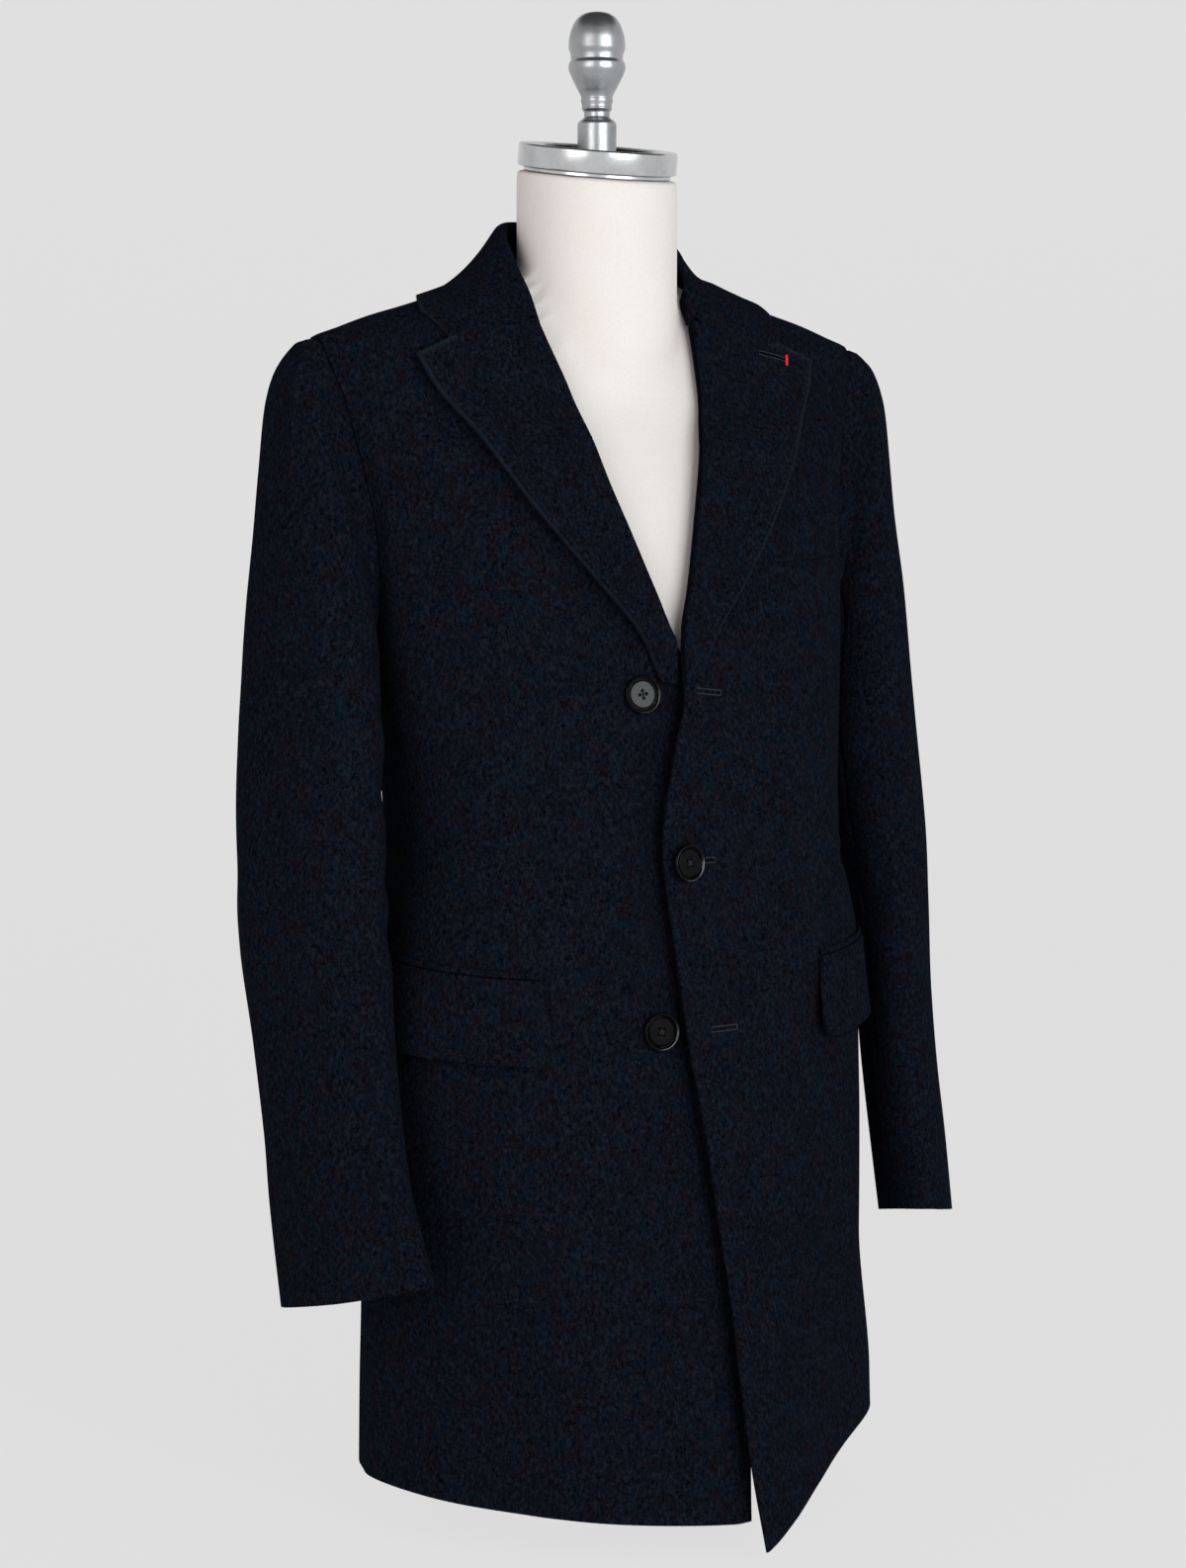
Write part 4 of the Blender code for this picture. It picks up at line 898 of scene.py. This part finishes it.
def sleeve_ring(phi, row):
    """Left sleeve: phi 0 is the outer side, +90 degrees the front, 180 the side next to the body."""
    whole = np.maximum(row, 1.0)
    outer_x, outer_z, inner_x, inner_z, centre_y, fore, aft, turn, rise = sleeve.at(whole)
    across, ahead = np.cos(phi), np.sin(phi)
    dx = (outer_x - inner_x) / 2 * across
    reach = np.where(ahead > 0, fore, aft)
    dy = -reach * lerp(arm_shape(phi), ahead, np.minimum(whole / 7, 1))
    turn = np.radians(turn)
    ring = spot((outer_x + inner_x) / 2 + dx * np.cos(turn) + dy * np.sin(turn),
                centre_y + AXIS_Y - dx * np.sin(turn) + dy * np.cos(turn),
                (outer_z + inner_z) / 2 + (outer_z - inner_z) / 2 * across + rise * ahead)
    start = armhole_point(phi) + np.array((0.0009, 0, 0))
    return np.where((row < 1)[..., None], lerp(start, ring, np.clip(row, 0, 1)[..., None]), ring)


def sleeve_folds(phi, row):
    """Soft troughs and ridges: fullness at the head, breaks at the inner elbow, a hang line at the back."""
    head = 0.0008 * bump(row, 2.0, 2.2) * np.sin(phi * 9.0 + 0.6)
    ridge = 0.0030 * bump(phi, 0.35, 0.19) * ease(row, 0.6, 1.6) * (1 - ease(row, 3.2, 5.5))
    elbow = 0.0
    for middle, depth, wide, slope in ELBOW_BREAKS:
        line = row - middle - slope * (phi - 1.9)
        elbow = elbow - depth * bump(line, 0, wide) * bump(phi, 1.95, 0.95)
    back = -0.0024 * bump(row - 9.0 + 0.4 * (phi + 1.2), 0, 0.8) * bump(phi, -1.2, 0.8)
    hang = 0.0018 * bump(phi, -0.5 - 0.04 * (row - 8), 0.5) * ease(row, 4, 8) * (1 - ease(row, 11.5, 13.5))
    cuff = 0.0010 * np.sin(phi * 5 + 1.0) * ease(row, 11.0, 14.0)
    return head + ridge + elbow + back + hang + cuff


def make_sleeve(left, kind, first, last):
    """One piece of a sleeve, between two steps round it."""
    mirror = np.array((1 if left else -1, 1, 1))
    top = kind == "sleeve_top"

    def place(u, v):
        margin = TOP_MARGIN if top else UNDER_MARGIN
        phi = np.radians(lerp(first + margin, last - margin, u) * SLEEVE_STEP)
        row = (1 - v) * LAST_ROW[0 if left else 1]
        low, high = np.maximum(row - 0.6, 0), np.minimum(row + 0.6, SLEEVE[-1][0])
        along = sleeve_ring(phi + 0.05, row) - sleeve_ring(phi - 0.05, row)
        normal = -unit(np.cross(along, sleeve_ring(phi, low) - sleeve_ring(phi, high)))
        fold = sleeve_folds(phi, row) * ease(row, 0.0, 1.2)
        edge = np.minimum(u, 1 - u) * (last - first) * STEP_ARC
        if top:
            fold = fold - 0.0009 * np.exp(-(edge / 0.0016) ** 2)
        else:
            fold = fold * ease(u, 0.0, 0.25) * ease(1 - u, 0.0, 0.25) * 0.4
            fold = fold - TUCK_DEPTH * (1 - ease(edge, 0.0, 0.0040))
        tuck = 1 - ease(row, 0.0, 0.34)       # the seam allowance, turned into the armhole
        inward = 0.0046 * tuck
        if left:
            inward = inward + 0.0055 * bump(row, 8.2, 1.5) * ease(-np.cos(phi), -0.1, 0.6)
        point = sleeve_ring(phi, row) + normal * (fold - 0.0022 * tuck)[..., None]
        return (point - spot(inward, 0, 0)) * mirror, normal * mirror

    node = sided(kind, left)
    finish_cloth(shell(node, place), node)


# ------------------------------------------------------------------ pockets

def pocket_angle(share):
    """The angle at a share of the way along the hip pocket, from its front end."""
    start = abs(front_angle(np.array(POCKET_X), np.array(POCKET_TOP)))
    return start + POCKET_LENGTH / POCKET_RADIUS * share


def make_flap(left):
    sign = 1 if left else -1

    def place(u, v):
        d = 1 - v
        from_end = np.minimum(u, 1 - u) * POCKET_LENGTH
        cut = np.maximum(FLAP_CORNER - from_end, 0)
        corner = FLAP_CORNER - np.sqrt(np.maximum(FLAP_CORNER ** 2 - cut ** 2, 0))
        height = POCKET_TOP + POCKET_CLIMB * u - d * (POCKET_DEPTH - corner)
        point, normal = front_point(left, sign * pocket_angle(u), height)
        down = d * POCKET_DEPTH
        edge = np.minimum(from_end, POCKET_DEPTH - down)
        pick = -0.0004 * np.exp(-((edge - 0.0045) / 0.0013) ** 2)
        roll = -0.0009 * np.exp(-(down / 0.002) ** 2)
        wave = 0.0007 * np.sin(u * 9.0 + 0.7) * d
        return point + normal * (FLAP_WALL + 0.0014 + 0.0050 * d ** 2 + pick + roll + wave)[..., None], normal

    def crowded(u, v):
        """With the columns closer at both ends, where the corners are round."""
        return place(0.5 - 0.5 * np.cos(np.pi * u), v)

    node = sided("flap", left)
    finish_cloth(shell(node, crowded), node)


def make_jet(left):
    sign = 1 if left else -1

    def place(u, v):
        rise = lerp(0.0008, 0.0052, v)
        point, normal = front_point(left, sign * pocket_angle(u), POCKET_TOP + POCKET_CLIMB * u + rise)
        full = 0.0026 + 0.0006 * np.sin(np.pi * v)
        return point + normal * full[..., None], normal

    name = sided("jet", left)
    made = shell(name, place)
    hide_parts(name)
    return made


def make_breast_welt():
    def place(u, v):
        x = lerp(WELT_INNER_X + 0.023 * v, WELT_OUTER_X, u)
        height = WELT_LOW + WELT_CLIMB * u + v * (WELT_DEPTH + 0.003 * u)
        point, normal = front_surface(True, x, height)
        edge = np.minimum(v, 1 - v) * WELT_DEPTH
        pick = -0.0003 * np.exp(-((edge - 0.0030) / 0.0012) ** 2)
        return point + normal * (0.0030 + pick)[..., None], normal

    finish_cloth(shell("breast_welt", place), "breast_welt")


for is_left in (True, False):
    front, jet = make_front(is_left), make_jet(is_left)
    finish_cloth(front, sided("front", is_left))
    make_back(is_left)
    make_lapel(is_left)
    make_flap(is_left)
    make_sleeve(is_left, "sleeve_top", -7, 9)
    make_sleeve(is_left, "sleeve_under", 9, 17)
make_collar()
make_breast_welt()

# ------------------------------------------------------------------ buttons

def spun(line, steps, near=0.000001):
    """A line of (radius, height) spun round the Z axis; points nearer than near become one."""
    form = bmesh.new()
    verts = [form.verts.new((radius, 0, height)) for radius, height in line]
    edges = [form.edges.new(pair) for pair in zip(verts, verts[1:])]
    bmesh.ops.spin(form, geom=verts + edges, cent=(0, 0, 0), axis=(0, 0, 1), angle=2 * math.pi, steps=steps,
                   use_merge=True)
    bmesh.ops.remove_doubles(form, verts=form.verts, dist=near)
    bmesh.ops.recalc_face_normals(form, faces=form.faces)
    return form


def turned(outline, steps=64):
    """A solid, from an outline that starts at the top and goes down its outer side."""
    return spun([(0, outline[0][1]), *outline, (0, outline[-1][1])], steps)


def drilled(form, holes):
    """The form with its holes cut through, as a mesh."""
    pieces = []
    for name, shape in (("blank", form), ("drills", holes)):
        mesh = bpy.data.meshes.new(name)
        shape.to_mesh(mesh)
        shape.free()
        pieces.append(bpy.data.objects.new(name, mesh))
        scene.collection.objects.link(pieces[-1])
    blank, drills = pieces
    cut = blank.modifiers.new("holes", "BOOLEAN")
    cut.operation, cut.solver, cut.object = "DIFFERENCE", "EXACT", drills
    seen = blank.evaluated_get(bpy.context.evaluated_depsgraph_get())
    mesh = bpy.data.meshes.new_from_object(seen)
    for piece in pieces:
        bpy.data.objects.remove(piece, do_unlink=True)
    return mesh


BUTTON_OUTLINE = (  # radius and height as shares of the button's own, from the middle of its face outwards
    (0.60, 0.70), (0.66, 0.695), (0.70, 0.66), (0.725, 0.58), (0.74, 0.46), (0.775, 0.42), (0.81, 0.46),
    (0.83, 0.66), (0.855, 0.88), (0.885, 0.97), (0.92, 1.0), (0.955, 0.96), (0.985, 0.84), (1.0, 0.64),
    (1.0, 0.50), (0.985, 0.34), (0.93, 0.16), (0.86, 0.06), (0.62, 0.01),
)
HOLE_AT, HOLE_LOW, HOLE_HIGH = 0.185, 0.070, 0.105     # as shares of the button's radius
STRAND_GAP, STRAND_SIZE = 0.000432, (0.00042, 0.0009)
BRIGHT_SIDE = np.array((0.69, -0.40, -0.60))           # the side of each rim where a painted highlight lies, given by a gloss coat
RIM_SHINE = (0.10, 1.0)                                # away from that side, and on it


def make_button(name, x, height, turn, on_left, spin, shine):
    """One button with its cross of thread; spin turns its holes, and shine sets the gloss coat on its face, a
    painted reflection.
    """
    point, normal = front_surface(on_left, np.array(x), np.array(height))
    r, d = BUTTON_RADIUS, BUTTON_DEPTH
    face = turned([(radius * r, share * d) for radius, share in BUTTON_OUTLINE], 56)
    holes = bmesh.new()
    for quarter in range(4):
        way = math.radians(90 * quarter)
        at = Matrix.Translation((HOLE_AT * r * math.cos(way), HOLE_AT * r * math.sin(way), 0.4 * d))
        bmesh.ops.create_cone(holes, cap_ends=True, segments=18, radius1=HOLE_LOW * r, radius2=HOLE_HIGH * r,
                              depth=d, matrix=at)
    mesh = drilled(face, holes)
    rim = mesh.attributes.new("rim", "FLOAT", "POINT")
    rim.data.foreach_set("value", [min(math.hypot(v.co.x, v.co.y) / r, 1) for v in mesh.vertices])
    normal = Vector(normal)
    normal.rotate(Matrix.Rotation(math.radians(turn), 3, "Z"))
    reach = abs(math.sin(math.radians(turn))) * r
    seat = (Matrix.Translation(Vector(point) + normal * (0.0009 + 0.42 * reach))
            @ normal.to_track_quat("Z", "Y").to_matrix().to_4x4()
            @ Matrix.Rotation(math.radians(spin), 4, "Z"))
    mesh.transform(seat)
    # Painted highlight: a gloss coat on the rim's bright side, and on the face as much as shine asks.
    away = np.array([v.co - seat.translation for v in mesh.vertices])
    low_side = ease(unit(away) @ BRIGHT_SIDE, 0.35, 0.85)
    outer = ease(np.linalg.norm(away, axis=1) / r, 0.83, 0.87)
    highlight_coat = mesh.attributes.new("highlight_coat", "FLOAT", "POINT")
    highlight_coat.data.foreach_set("value", lerp(shine, lerp(*RIM_SHINE, low_side), outer))
    made = show(name + "_turned", mesh, horn, 32)
    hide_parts(name)
    spots, ways = [], []
    for quarter in range(2):
        way = math.radians(90 * quarter)
        for off in (-STRAND_GAP, 0, STRAND_GAP):
            high = (0.72 + 0.07 * quarter) * d
            spots.append(seat @ Vector((-off * math.sin(way), off * math.cos(way), high)))
            ways.append(seat.to_3x3() @ Vector((math.cos(way), math.sin(way), 0)))
    up = np.broadcast_to(np.array(normal), (len(spots), 3))
    many(name + "_thread", rounded_bar(), np.array(spots), np.array(ways), up,
         (0.42 * r, *STRAND_SIZE), thread)


# ------------------------------------------------------------------ sewing

STITCH_INSET, STITCH_PITCH, STITCH_SIZE, STITCH_RISE = 0.0050, 0.0048, (0.0013, 0.00038, 0.00034), 0.00005
WELT_INSET, WELT_PITCH = 0.0022, 0.0030
PURL_PITCH, PURL_SIZE, PURL_RISE = 0.00052, (0.00105, 0.00048, 0.00042), 0.00010
BAR_PITCH, BAR_SIZE, BAR_RISE = 0.00055, (0.0026, 0.00066, 0.0009), 0.0003
EDGE_FIBRE_WIDTH, NAP_FIBRE_WIDTH = 0.00006, 0.00007


def sew_along(name, edges, inset=STITCH_INSET, pitch=STITCH_PITCH):
    """A line of small stitches inside the edges of a cloth piece."""
    places, ways, ups = [], [], []
    for edge, low, high in edges:
        points, normals, _ = edge_line(name, edge, inset)
        keep = slice(int(low * len(points)), int(high * len(points)))
        points, normals = points[keep], normals[keep]
        at = spaced(points, pitch)
        places.append(read_rows(points, at) + read_rows(normals, at) * STITCH_RISE)
        ways.append(read_rows(np.gradient(points, axis=0), at))
        ups.append(read_rows(normals, at))
    many(name.replace("_cloth", "_stitches"), rounded_bar(), np.concatenate(places), np.concatenate(ways),
         np.concatenate(ups), STITCH_SIZE, thread)


def make_buttonhole(name, surface, start, end, wide, tack=None):
    """Purl stitches set square round a slit, which runs from start to end, places as surface takes them.

    A buttonhole with a tack ends in a bar of red stitches of that length, and the others end in purl."""
    ends = np.array([start, end])
    (inner, _), (outer, _) = surface(*ends[0]), surface(*ends[1])
    _, up = surface(*ends.mean(axis=0))
    along = unit(outer - inner)
    across = np.cross(up, along)
    long = np.linalg.norm(outer - inner)

    def on_cloth(share, side):
        point, _ = surface(*lerp(ends[0], ends[1], share))
        return point + across * side

    places, ways = [], []
    half = wide / 2
    for side in (-half, half):
        for k in range(int(long / PURL_PITCH)):
            places.append(on_cloth((k + 0.5) * PURL_PITCH / long, side))
            ways.append(across)
    if tack is None:
        for k in range(-3, 4):
            places.append(on_cloth(1.0, k * half / 3) + along * 0.0004)
            ways.append(along)
    places, ways = np.array(places), np.array(ways)
    ups = np.broadcast_to(up, places.shape)
    many(name, rounded_bar(), places + ups * PURL_RISE, ways, ups, PURL_SIZE, teal_thread)
    # Painted shade: a dark sheet over the slit, where its gap lies in shade.
    slit = (inner + outer) / 2 + up * 0.00002
    many(name + "_slit", rounded_bar(), slit[None], along[None], up[None],
         (long * 0.96, wide - 0.0009, 0.0003), painted_slit_shade)
    if tack:
        rows = int(tack / BAR_PITCH)
        bars = [outer + along * 0.0012 + across * ((k + 0.5) / rows - 0.5) * tack for k in range(rows)]
        ups = np.broadcast_to(up, (rows, 3))
        many(name + "_bar_tack", rounded_bar(), np.array(bars) + ups * BAR_RISE,
             np.broadcast_to(along, (rows, 3)), ups, BAR_SIZE, red_thread)


def fuzz(name, runs, count, reach, seed):
    """Short loose fibres that stand off cut and folded edges."""
    rng = np.random.default_rng(seed)
    places, ways, ups = [], [], []
    lines = [(*edge_line(cloth, edge), cloths[cloth][1]) for cloth, edge in runs]
    lengths = np.array([np.linalg.norm(np.diff(line[0], axis=0), axis=1).sum() for line in lines])
    for (points, normals, off, wall), share in zip(lines, lengths / lengths.sum()):
        number = int(count * share)
        at = rng.uniform(0, len(points) - 1.01, number)
        normal, out = read_rows(normals, at), read_rows(off, at)
        depth = rng.uniform(0.05, 0.95, (number, 1)) * wall
        lean = rng.normal(0, 0.55, (number, 3))
        places.append(read_rows(points, at) - normal * depth - out * 0.0002)
        ways.append(out + normal * (0.5 - depth / wall) + lean)
        ups.append(normal)
    total = sum(len(group) for group in places)
    sizes = spot(rng.uniform(0.35, 1.0, total) ** 1.5 * reach, EDGE_FIBRE_WIDTH, EDGE_FIBRE_WIDTH)
    many(name, fibre(), np.concatenate(places), np.concatenate(ways), np.concatenate(ups), sizes, edge_tip)


def nap(name, cloth_shares, seed):
    """Sparse fibres lying down the face of the cloth."""
    rng = np.random.default_rng(seed)
    places, ways, ups = [], [], []
    for cloth, number in cloth_shares:
        place, _ = cloths[cloth]
        u, v = rng.uniform(0.01, 0.99, (2, number))
        points, normals = place(u, v)
        lie = np.array((0, 0, -1.0)) + rng.normal(0, 0.55, (number, 3)) + normals * 0.35
        places.append(points - normals * 0.00015)
        ways.append(lie)
        ups.append(normals)
    total = sum(len(group) for group in places)
    sizes = spot(rng.uniform(0.0008, 0.0022, total), NAP_FIBRE_WIDTH, NAP_FIBRE_WIDTH)
    many(name, fibre(), np.concatenate(places), np.concatenate(ways), np.concatenate(ups), sizes, nap_tip)


BUTTON_SPINS, BUTTON_SHINES = (8, 52, 30), (0.38, 0.04, 0.0)      # degrees, and the gloss coat on each face, which paints its reflection
for button, spin, shine in zip(BUTTONS, BUTTON_SPINS, BUTTON_SHINES):
    make_button(*button, spin, shine)

SIDES = ("left", "right")
STITCHED = (  # kind of piece, then each sewn edge with where it starts and ends
    ("lapel", (("right", 0.03, 0.985), ("top", 0.78, 0.97))),
    ("flap", (("left", 0.14, 1.0), ("bottom", 0.05, 0.95), ("right", 0.14, 1.0))),
    ("front", (("left", 0.01, 0.62),)),
)
for side in SIDES:
    for kind, edges in STITCHED:
        sew_along(f"{kind}_{side}_cloth", edges)
sew_along("collar_cloth", (("top", 0.02, 0.98), ("left", 0.62, 0.97), ("right", 0.62, 0.97)))
sew_along("breast_welt_cloth", (("left", 0.1, 0.9), ("right", 0.1, 0.9)), WELT_INSET, WELT_PITCH)


def on_left_front(x, height):
    return front_surface(True, x, height)


HOLE_WIDTH, LAPEL_HOLE_WIDTH, LAPEL_TACK = 0.0036, 0.0028, 0.0085
BUTTONHOLES = (  # name, inner x and height, outer x and height
    ("buttonhole_top", (0.0104, 0.6121), (0.0324, 0.6094)),
    ("buttonhole_middle", (-0.0010, 0.4916), (0.0212, 0.4908)),
    ("buttonhole_bottom", (0.0114, 0.3702), (0.0336, 0.3703)),
)
for name, start, end in BUTTONHOLES:
    make_buttonhole(name, on_left_front, start, end, HOLE_WIDTH)
make_buttonhole("lapel_buttonhole", lapel_place(True), (0.545, 0.958), (0.772, 0.957), LAPEL_HOLE_WIDTH,
                LAPEL_TACK)

LOOSE_EDGES = (  # kinds of piece, and those of their edges that fibres stand off
    (("lapel",), ("right", "top")), (("flap",), ("left", "right", "bottom")), (("front",), ("left", "bottom")),
    (("back",), ("bottom",)), (("sleeve_top", "sleeve_under"), ("bottom",)),
)
edges = [(f"{kind}_{side}_cloth", edge)
         for kinds, names in LOOSE_EDGES for side in SIDES for kind in kinds for edge in names]
edges += [("collar_cloth", edge) for edge in ("left", "right", "top")] + [("breast_welt_cloth", "top")]
fuzz("edge_fibres", edges, count=28000, reach=0.0017, seed=11)

NAP_FIBRES = (  # kind of piece, fibres on each of its two sides
    ("front", 5600), ("back", 3200), ("lapel", 1000), ("sleeve_top", 3200), ("sleeve_under", 1000),
    ("flap", 400),
)
COLLAR_NAP = 1200
brushed = [(f"{kind}_{side}_cloth", number) for side in SIDES for kind, number in NAP_FIBRES]
nap("nap_fibres", brushed + [("collar_cloth", COLLAR_NAP)], seed=5)

# ------------------------------------------------------------------ dress form and stand


def tilted(height):
    """Places a turned piece on the neck, sloping down to the front."""
    return Matrix.Translation((0, AXIS_Y, height)) @ Matrix.Rotation(CAP_TILT, 4, "X")


def make_form():
    """The torso, its facets smoothed out."""
    form = bmesh.new()
    form.from_mesh(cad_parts["form_torso"].data)
    bmesh.ops.remove_doubles(form, verts=form.verts, dist=0.00001)
    bmesh.ops.join_triangles(form, faces=form.faces, angle_face_threshold=math.radians(30),
                             angle_shape_threshold=math.radians(180))
    made = from_bmesh("form_torso_covered", form, ecru, sharp=60)
    smooth = made.modifiers.new("smooth", "SUBSURF")
    smooth.levels = smooth.render_levels = 2
    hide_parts("form_torso")


def make_cap():
    """The ring and the dished plate on the neck; the plate's well is painted black."""
    r, d = RING_RADIUS, RING_DEPTH
    ring = turned(((r - 0.0006, d), (r, d - 0.0006), (r, 0.0008), (r - 0.0010, 0)), 96)
    made = from_bmesh("cap_ring_turned", ring, steel, tilted(NECK_TOP + SEAM), 40)
    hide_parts("cap_ring")
    r, d = CAP_RADIUS, CAP_DEPTH
    well = d - CAP_WELL
    plate = turned(((0.30 * r, well), (0.69 * r, well), (0.705 * r, well + 0.0006), (0.715 * r, d - 0.0014),
                    (0.730 * r, d - 0.0010), (0.76 * r, d - 0.0010), (0.775 * r, d - 0.0004), (r - 0.0016, d),
                    (r - 0.0007, d - 0.0003), (r, d - 0.0012), (r, 0.0012), (r - 0.0004, 0.0004),
                    (r - 0.0012, 0)), 128)
    painted = [float(math.hypot(v.co.x, v.co.y) < 0.72 * r and v.co.z > 0.5 * d) for v in plate.verts]
    made = from_bmesh("cap_plate_turned", plate, steel,
                      tilted(NECK_TOP + RING_DEPTH + 2 * SEAM), 34)
    made.data.attributes.new("well", "FLOAT", "POINT").data.foreach_set("value", painted)
    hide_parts("cap_plate")


def make_finial():
    """Turned upright, its foot cut off along the slope of the cap's well."""
    shape = Profile(FINIAL)
    heights = np.unique(np.concatenate([np.linspace(FINIAL[0][0], FINIAL[-2][0], 100),
                                        [row[0] for row in FINIAL[:-1]]]))
    outline = [(float(shape.at(height)[0]), float(height)) for height in heights[::-1]]
    form = turned(outline, 72)
    up = Matrix.Rotation(CAP_TILT, 3, "X") @ Vector((0, 0, 1))
    seat = Vector((0, 0, NECK_TOP)) + up * (RING_DEPTH + CAP_DEPTH - CAP_WELL + 3 * SEAM)
    whole = form.verts[:] + form.edges[:] + form.faces[:]
    foot = bmesh.ops.bisect_plane(form, geom=whole, plane_co=seat, plane_no=up, clear_inner=True)
    bmesh.ops.contextual_create(form, geom=[e for e in foot["geom_cut"] if isinstance(e, bmesh.types.BMEdge)])
    bmesh.ops.recalc_face_normals(form, faces=form.faces)
    made = from_bmesh("finial_turned", form, shaded_finial_steel,
                      Matrix.Translation((0, AXIS_Y, 0)), 50)
    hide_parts("finial")


def make_stand():
    """The round cast foot with its hub, and the tube that stands in it."""
    r, d, hub = BASE_RADIUS, BASE_DEPTH, POLE_RADIUS * 1.7
    plate = turned(((hub - 0.0008, BASE_HUB), (hub, BASE_HUB - 0.0008), (hub, d + 0.0030),
                    (hub + 0.0012, d + 0.0006), (0.30 * r, d), (0.60 * r, 0.83 * d), (0.94 * r, 0.62 * d),
                    (0.985 * r, 0.55 * d), (r, 0.45 * d), (r, 0.0015), (r - 0.0005, 0.0005),
                    (r - 0.0015, 0)), 128)
    made = from_bmesh("base_plate_cast", plate, iron, Matrix.Translation((0, BASE_Y, 0)), 34)
    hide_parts("base_plate")
    tube = turned(((POLE_RADIUS - 0.0004, POLE_TOP), (POLE_RADIUS, POLE_TOP - 0.0004),
                   (POLE_RADIUS, BASE_HUB + SEAM + 0.0004), (POLE_RADIUS - 0.0004, BASE_HUB + SEAM)), 64)
    made = from_bmesh("pole_tube", tube, steel, Matrix.Translation((0, BASE_Y, 0)), 34)
    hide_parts("pole")


make_form()
make_cap()
make_finial()
make_stand()

# ------------------------------------------------------------------ floor, walls and light

ROOM_RADIUS, ROOM_CURVE, ROOM_HEIGHT = 5.5, 1.6, 5.0
ROOM_GREY, ROOM_GLOW = 0.08, 0.692
ROOM_DROP = 0.001        # the floor lies this far under the stand
WORLD_GREY, WORLD_STRENGTH = 0.74, 0.12
LAMPS_AIM = (0, 0, 0.75)
LAMPS = (  # name, place, width, height, power, colour
    ("left softbox", (-2.4, -1.25, 1.30), 1.5, 2.0, 22, (1.0, 0.98, 0.96)),
    ("right softbox", (0.32, -2.75, 1.30), 2.0, 2.0, 60, (0.90, 0.99, 1.0)),
)


def make_room():
    """A round studio: the pale floor curves up into the wall without a corner."""
    turn = [math.radians(a) for a in range(0, 91, 6)]
    line = [(0, 0)] + [(ROOM_RADIUS - ROOM_CURVE + ROOM_CURVE * math.sin(a),
                        ROOM_CURVE - ROOM_CURVE * math.cos(a)) for a in turn] + [(ROOM_RADIUS, ROOM_HEIGHT)]
    room = spun(line, 96, 0.0001)
    if sum(face.normal.z for face in room.faces) < 0:
        bmesh.ops.reverse_faces(room, faces=room.faces)
    mesh = bpy.data.meshes.new("floor")
    room.to_mesh(mesh)
    room.free()
    mesh.shade_smooth()
    mesh.materials.append(room_finish())
    made = bpy.data.objects.new("floor", mesh)
    made.location.z = -ROOM_DROP
    scene.collection.objects.link(made)


def room_finish():
    """Matt paper that glows a little, so that it stays even."""
    made = bpy.data.materials.new("pale_studio")
    made.use_nodes = True
    shader = made.node_tree.nodes["Principled BSDF"]
    shader.inputs["Base Color"].default_value = (ROOM_GREY, ROOM_GREY, ROOM_GREY, 1)
    shader.inputs["Roughness"].default_value = 1.0
    shader.inputs["Specular IOR Level"].default_value = 0.0
    shader.inputs["Emission Color"].default_value = (ROOM_GLOW, ROOM_GLOW, ROOM_GLOW, 1)
    shader.inputs["Emission Strength"].default_value = 1.0
    return made


def lamp(name, at, wide, tall, power, colour):
    light = bpy.data.lights.new(name, "AREA")
    light.shape, light.size, light.size_y, light.energy = "RECTANGLE", wide, tall, power
    light.color = colour
    made = bpy.data.objects.new(name, light)
    made.location = at
    made.rotation_euler = (Vector(LAMPS_AIM) - Vector(at)).to_track_quat("-Z", "Y").to_euler()
    scene.collection.objects.link(made)


make_room()
world = bpy.data.worlds.new("studio")
scene.world = world
world.use_nodes = True
background = world.node_tree.nodes["Background"]
background.inputs["Color"].default_value = (WORLD_GREY, WORLD_GREY, WORLD_GREY, 1)
background.inputs["Strength"].default_value = WORLD_STRENGTH
for each in LAMPS:
    lamp(*each)
scene.view_settings.view_transform = "Standard"
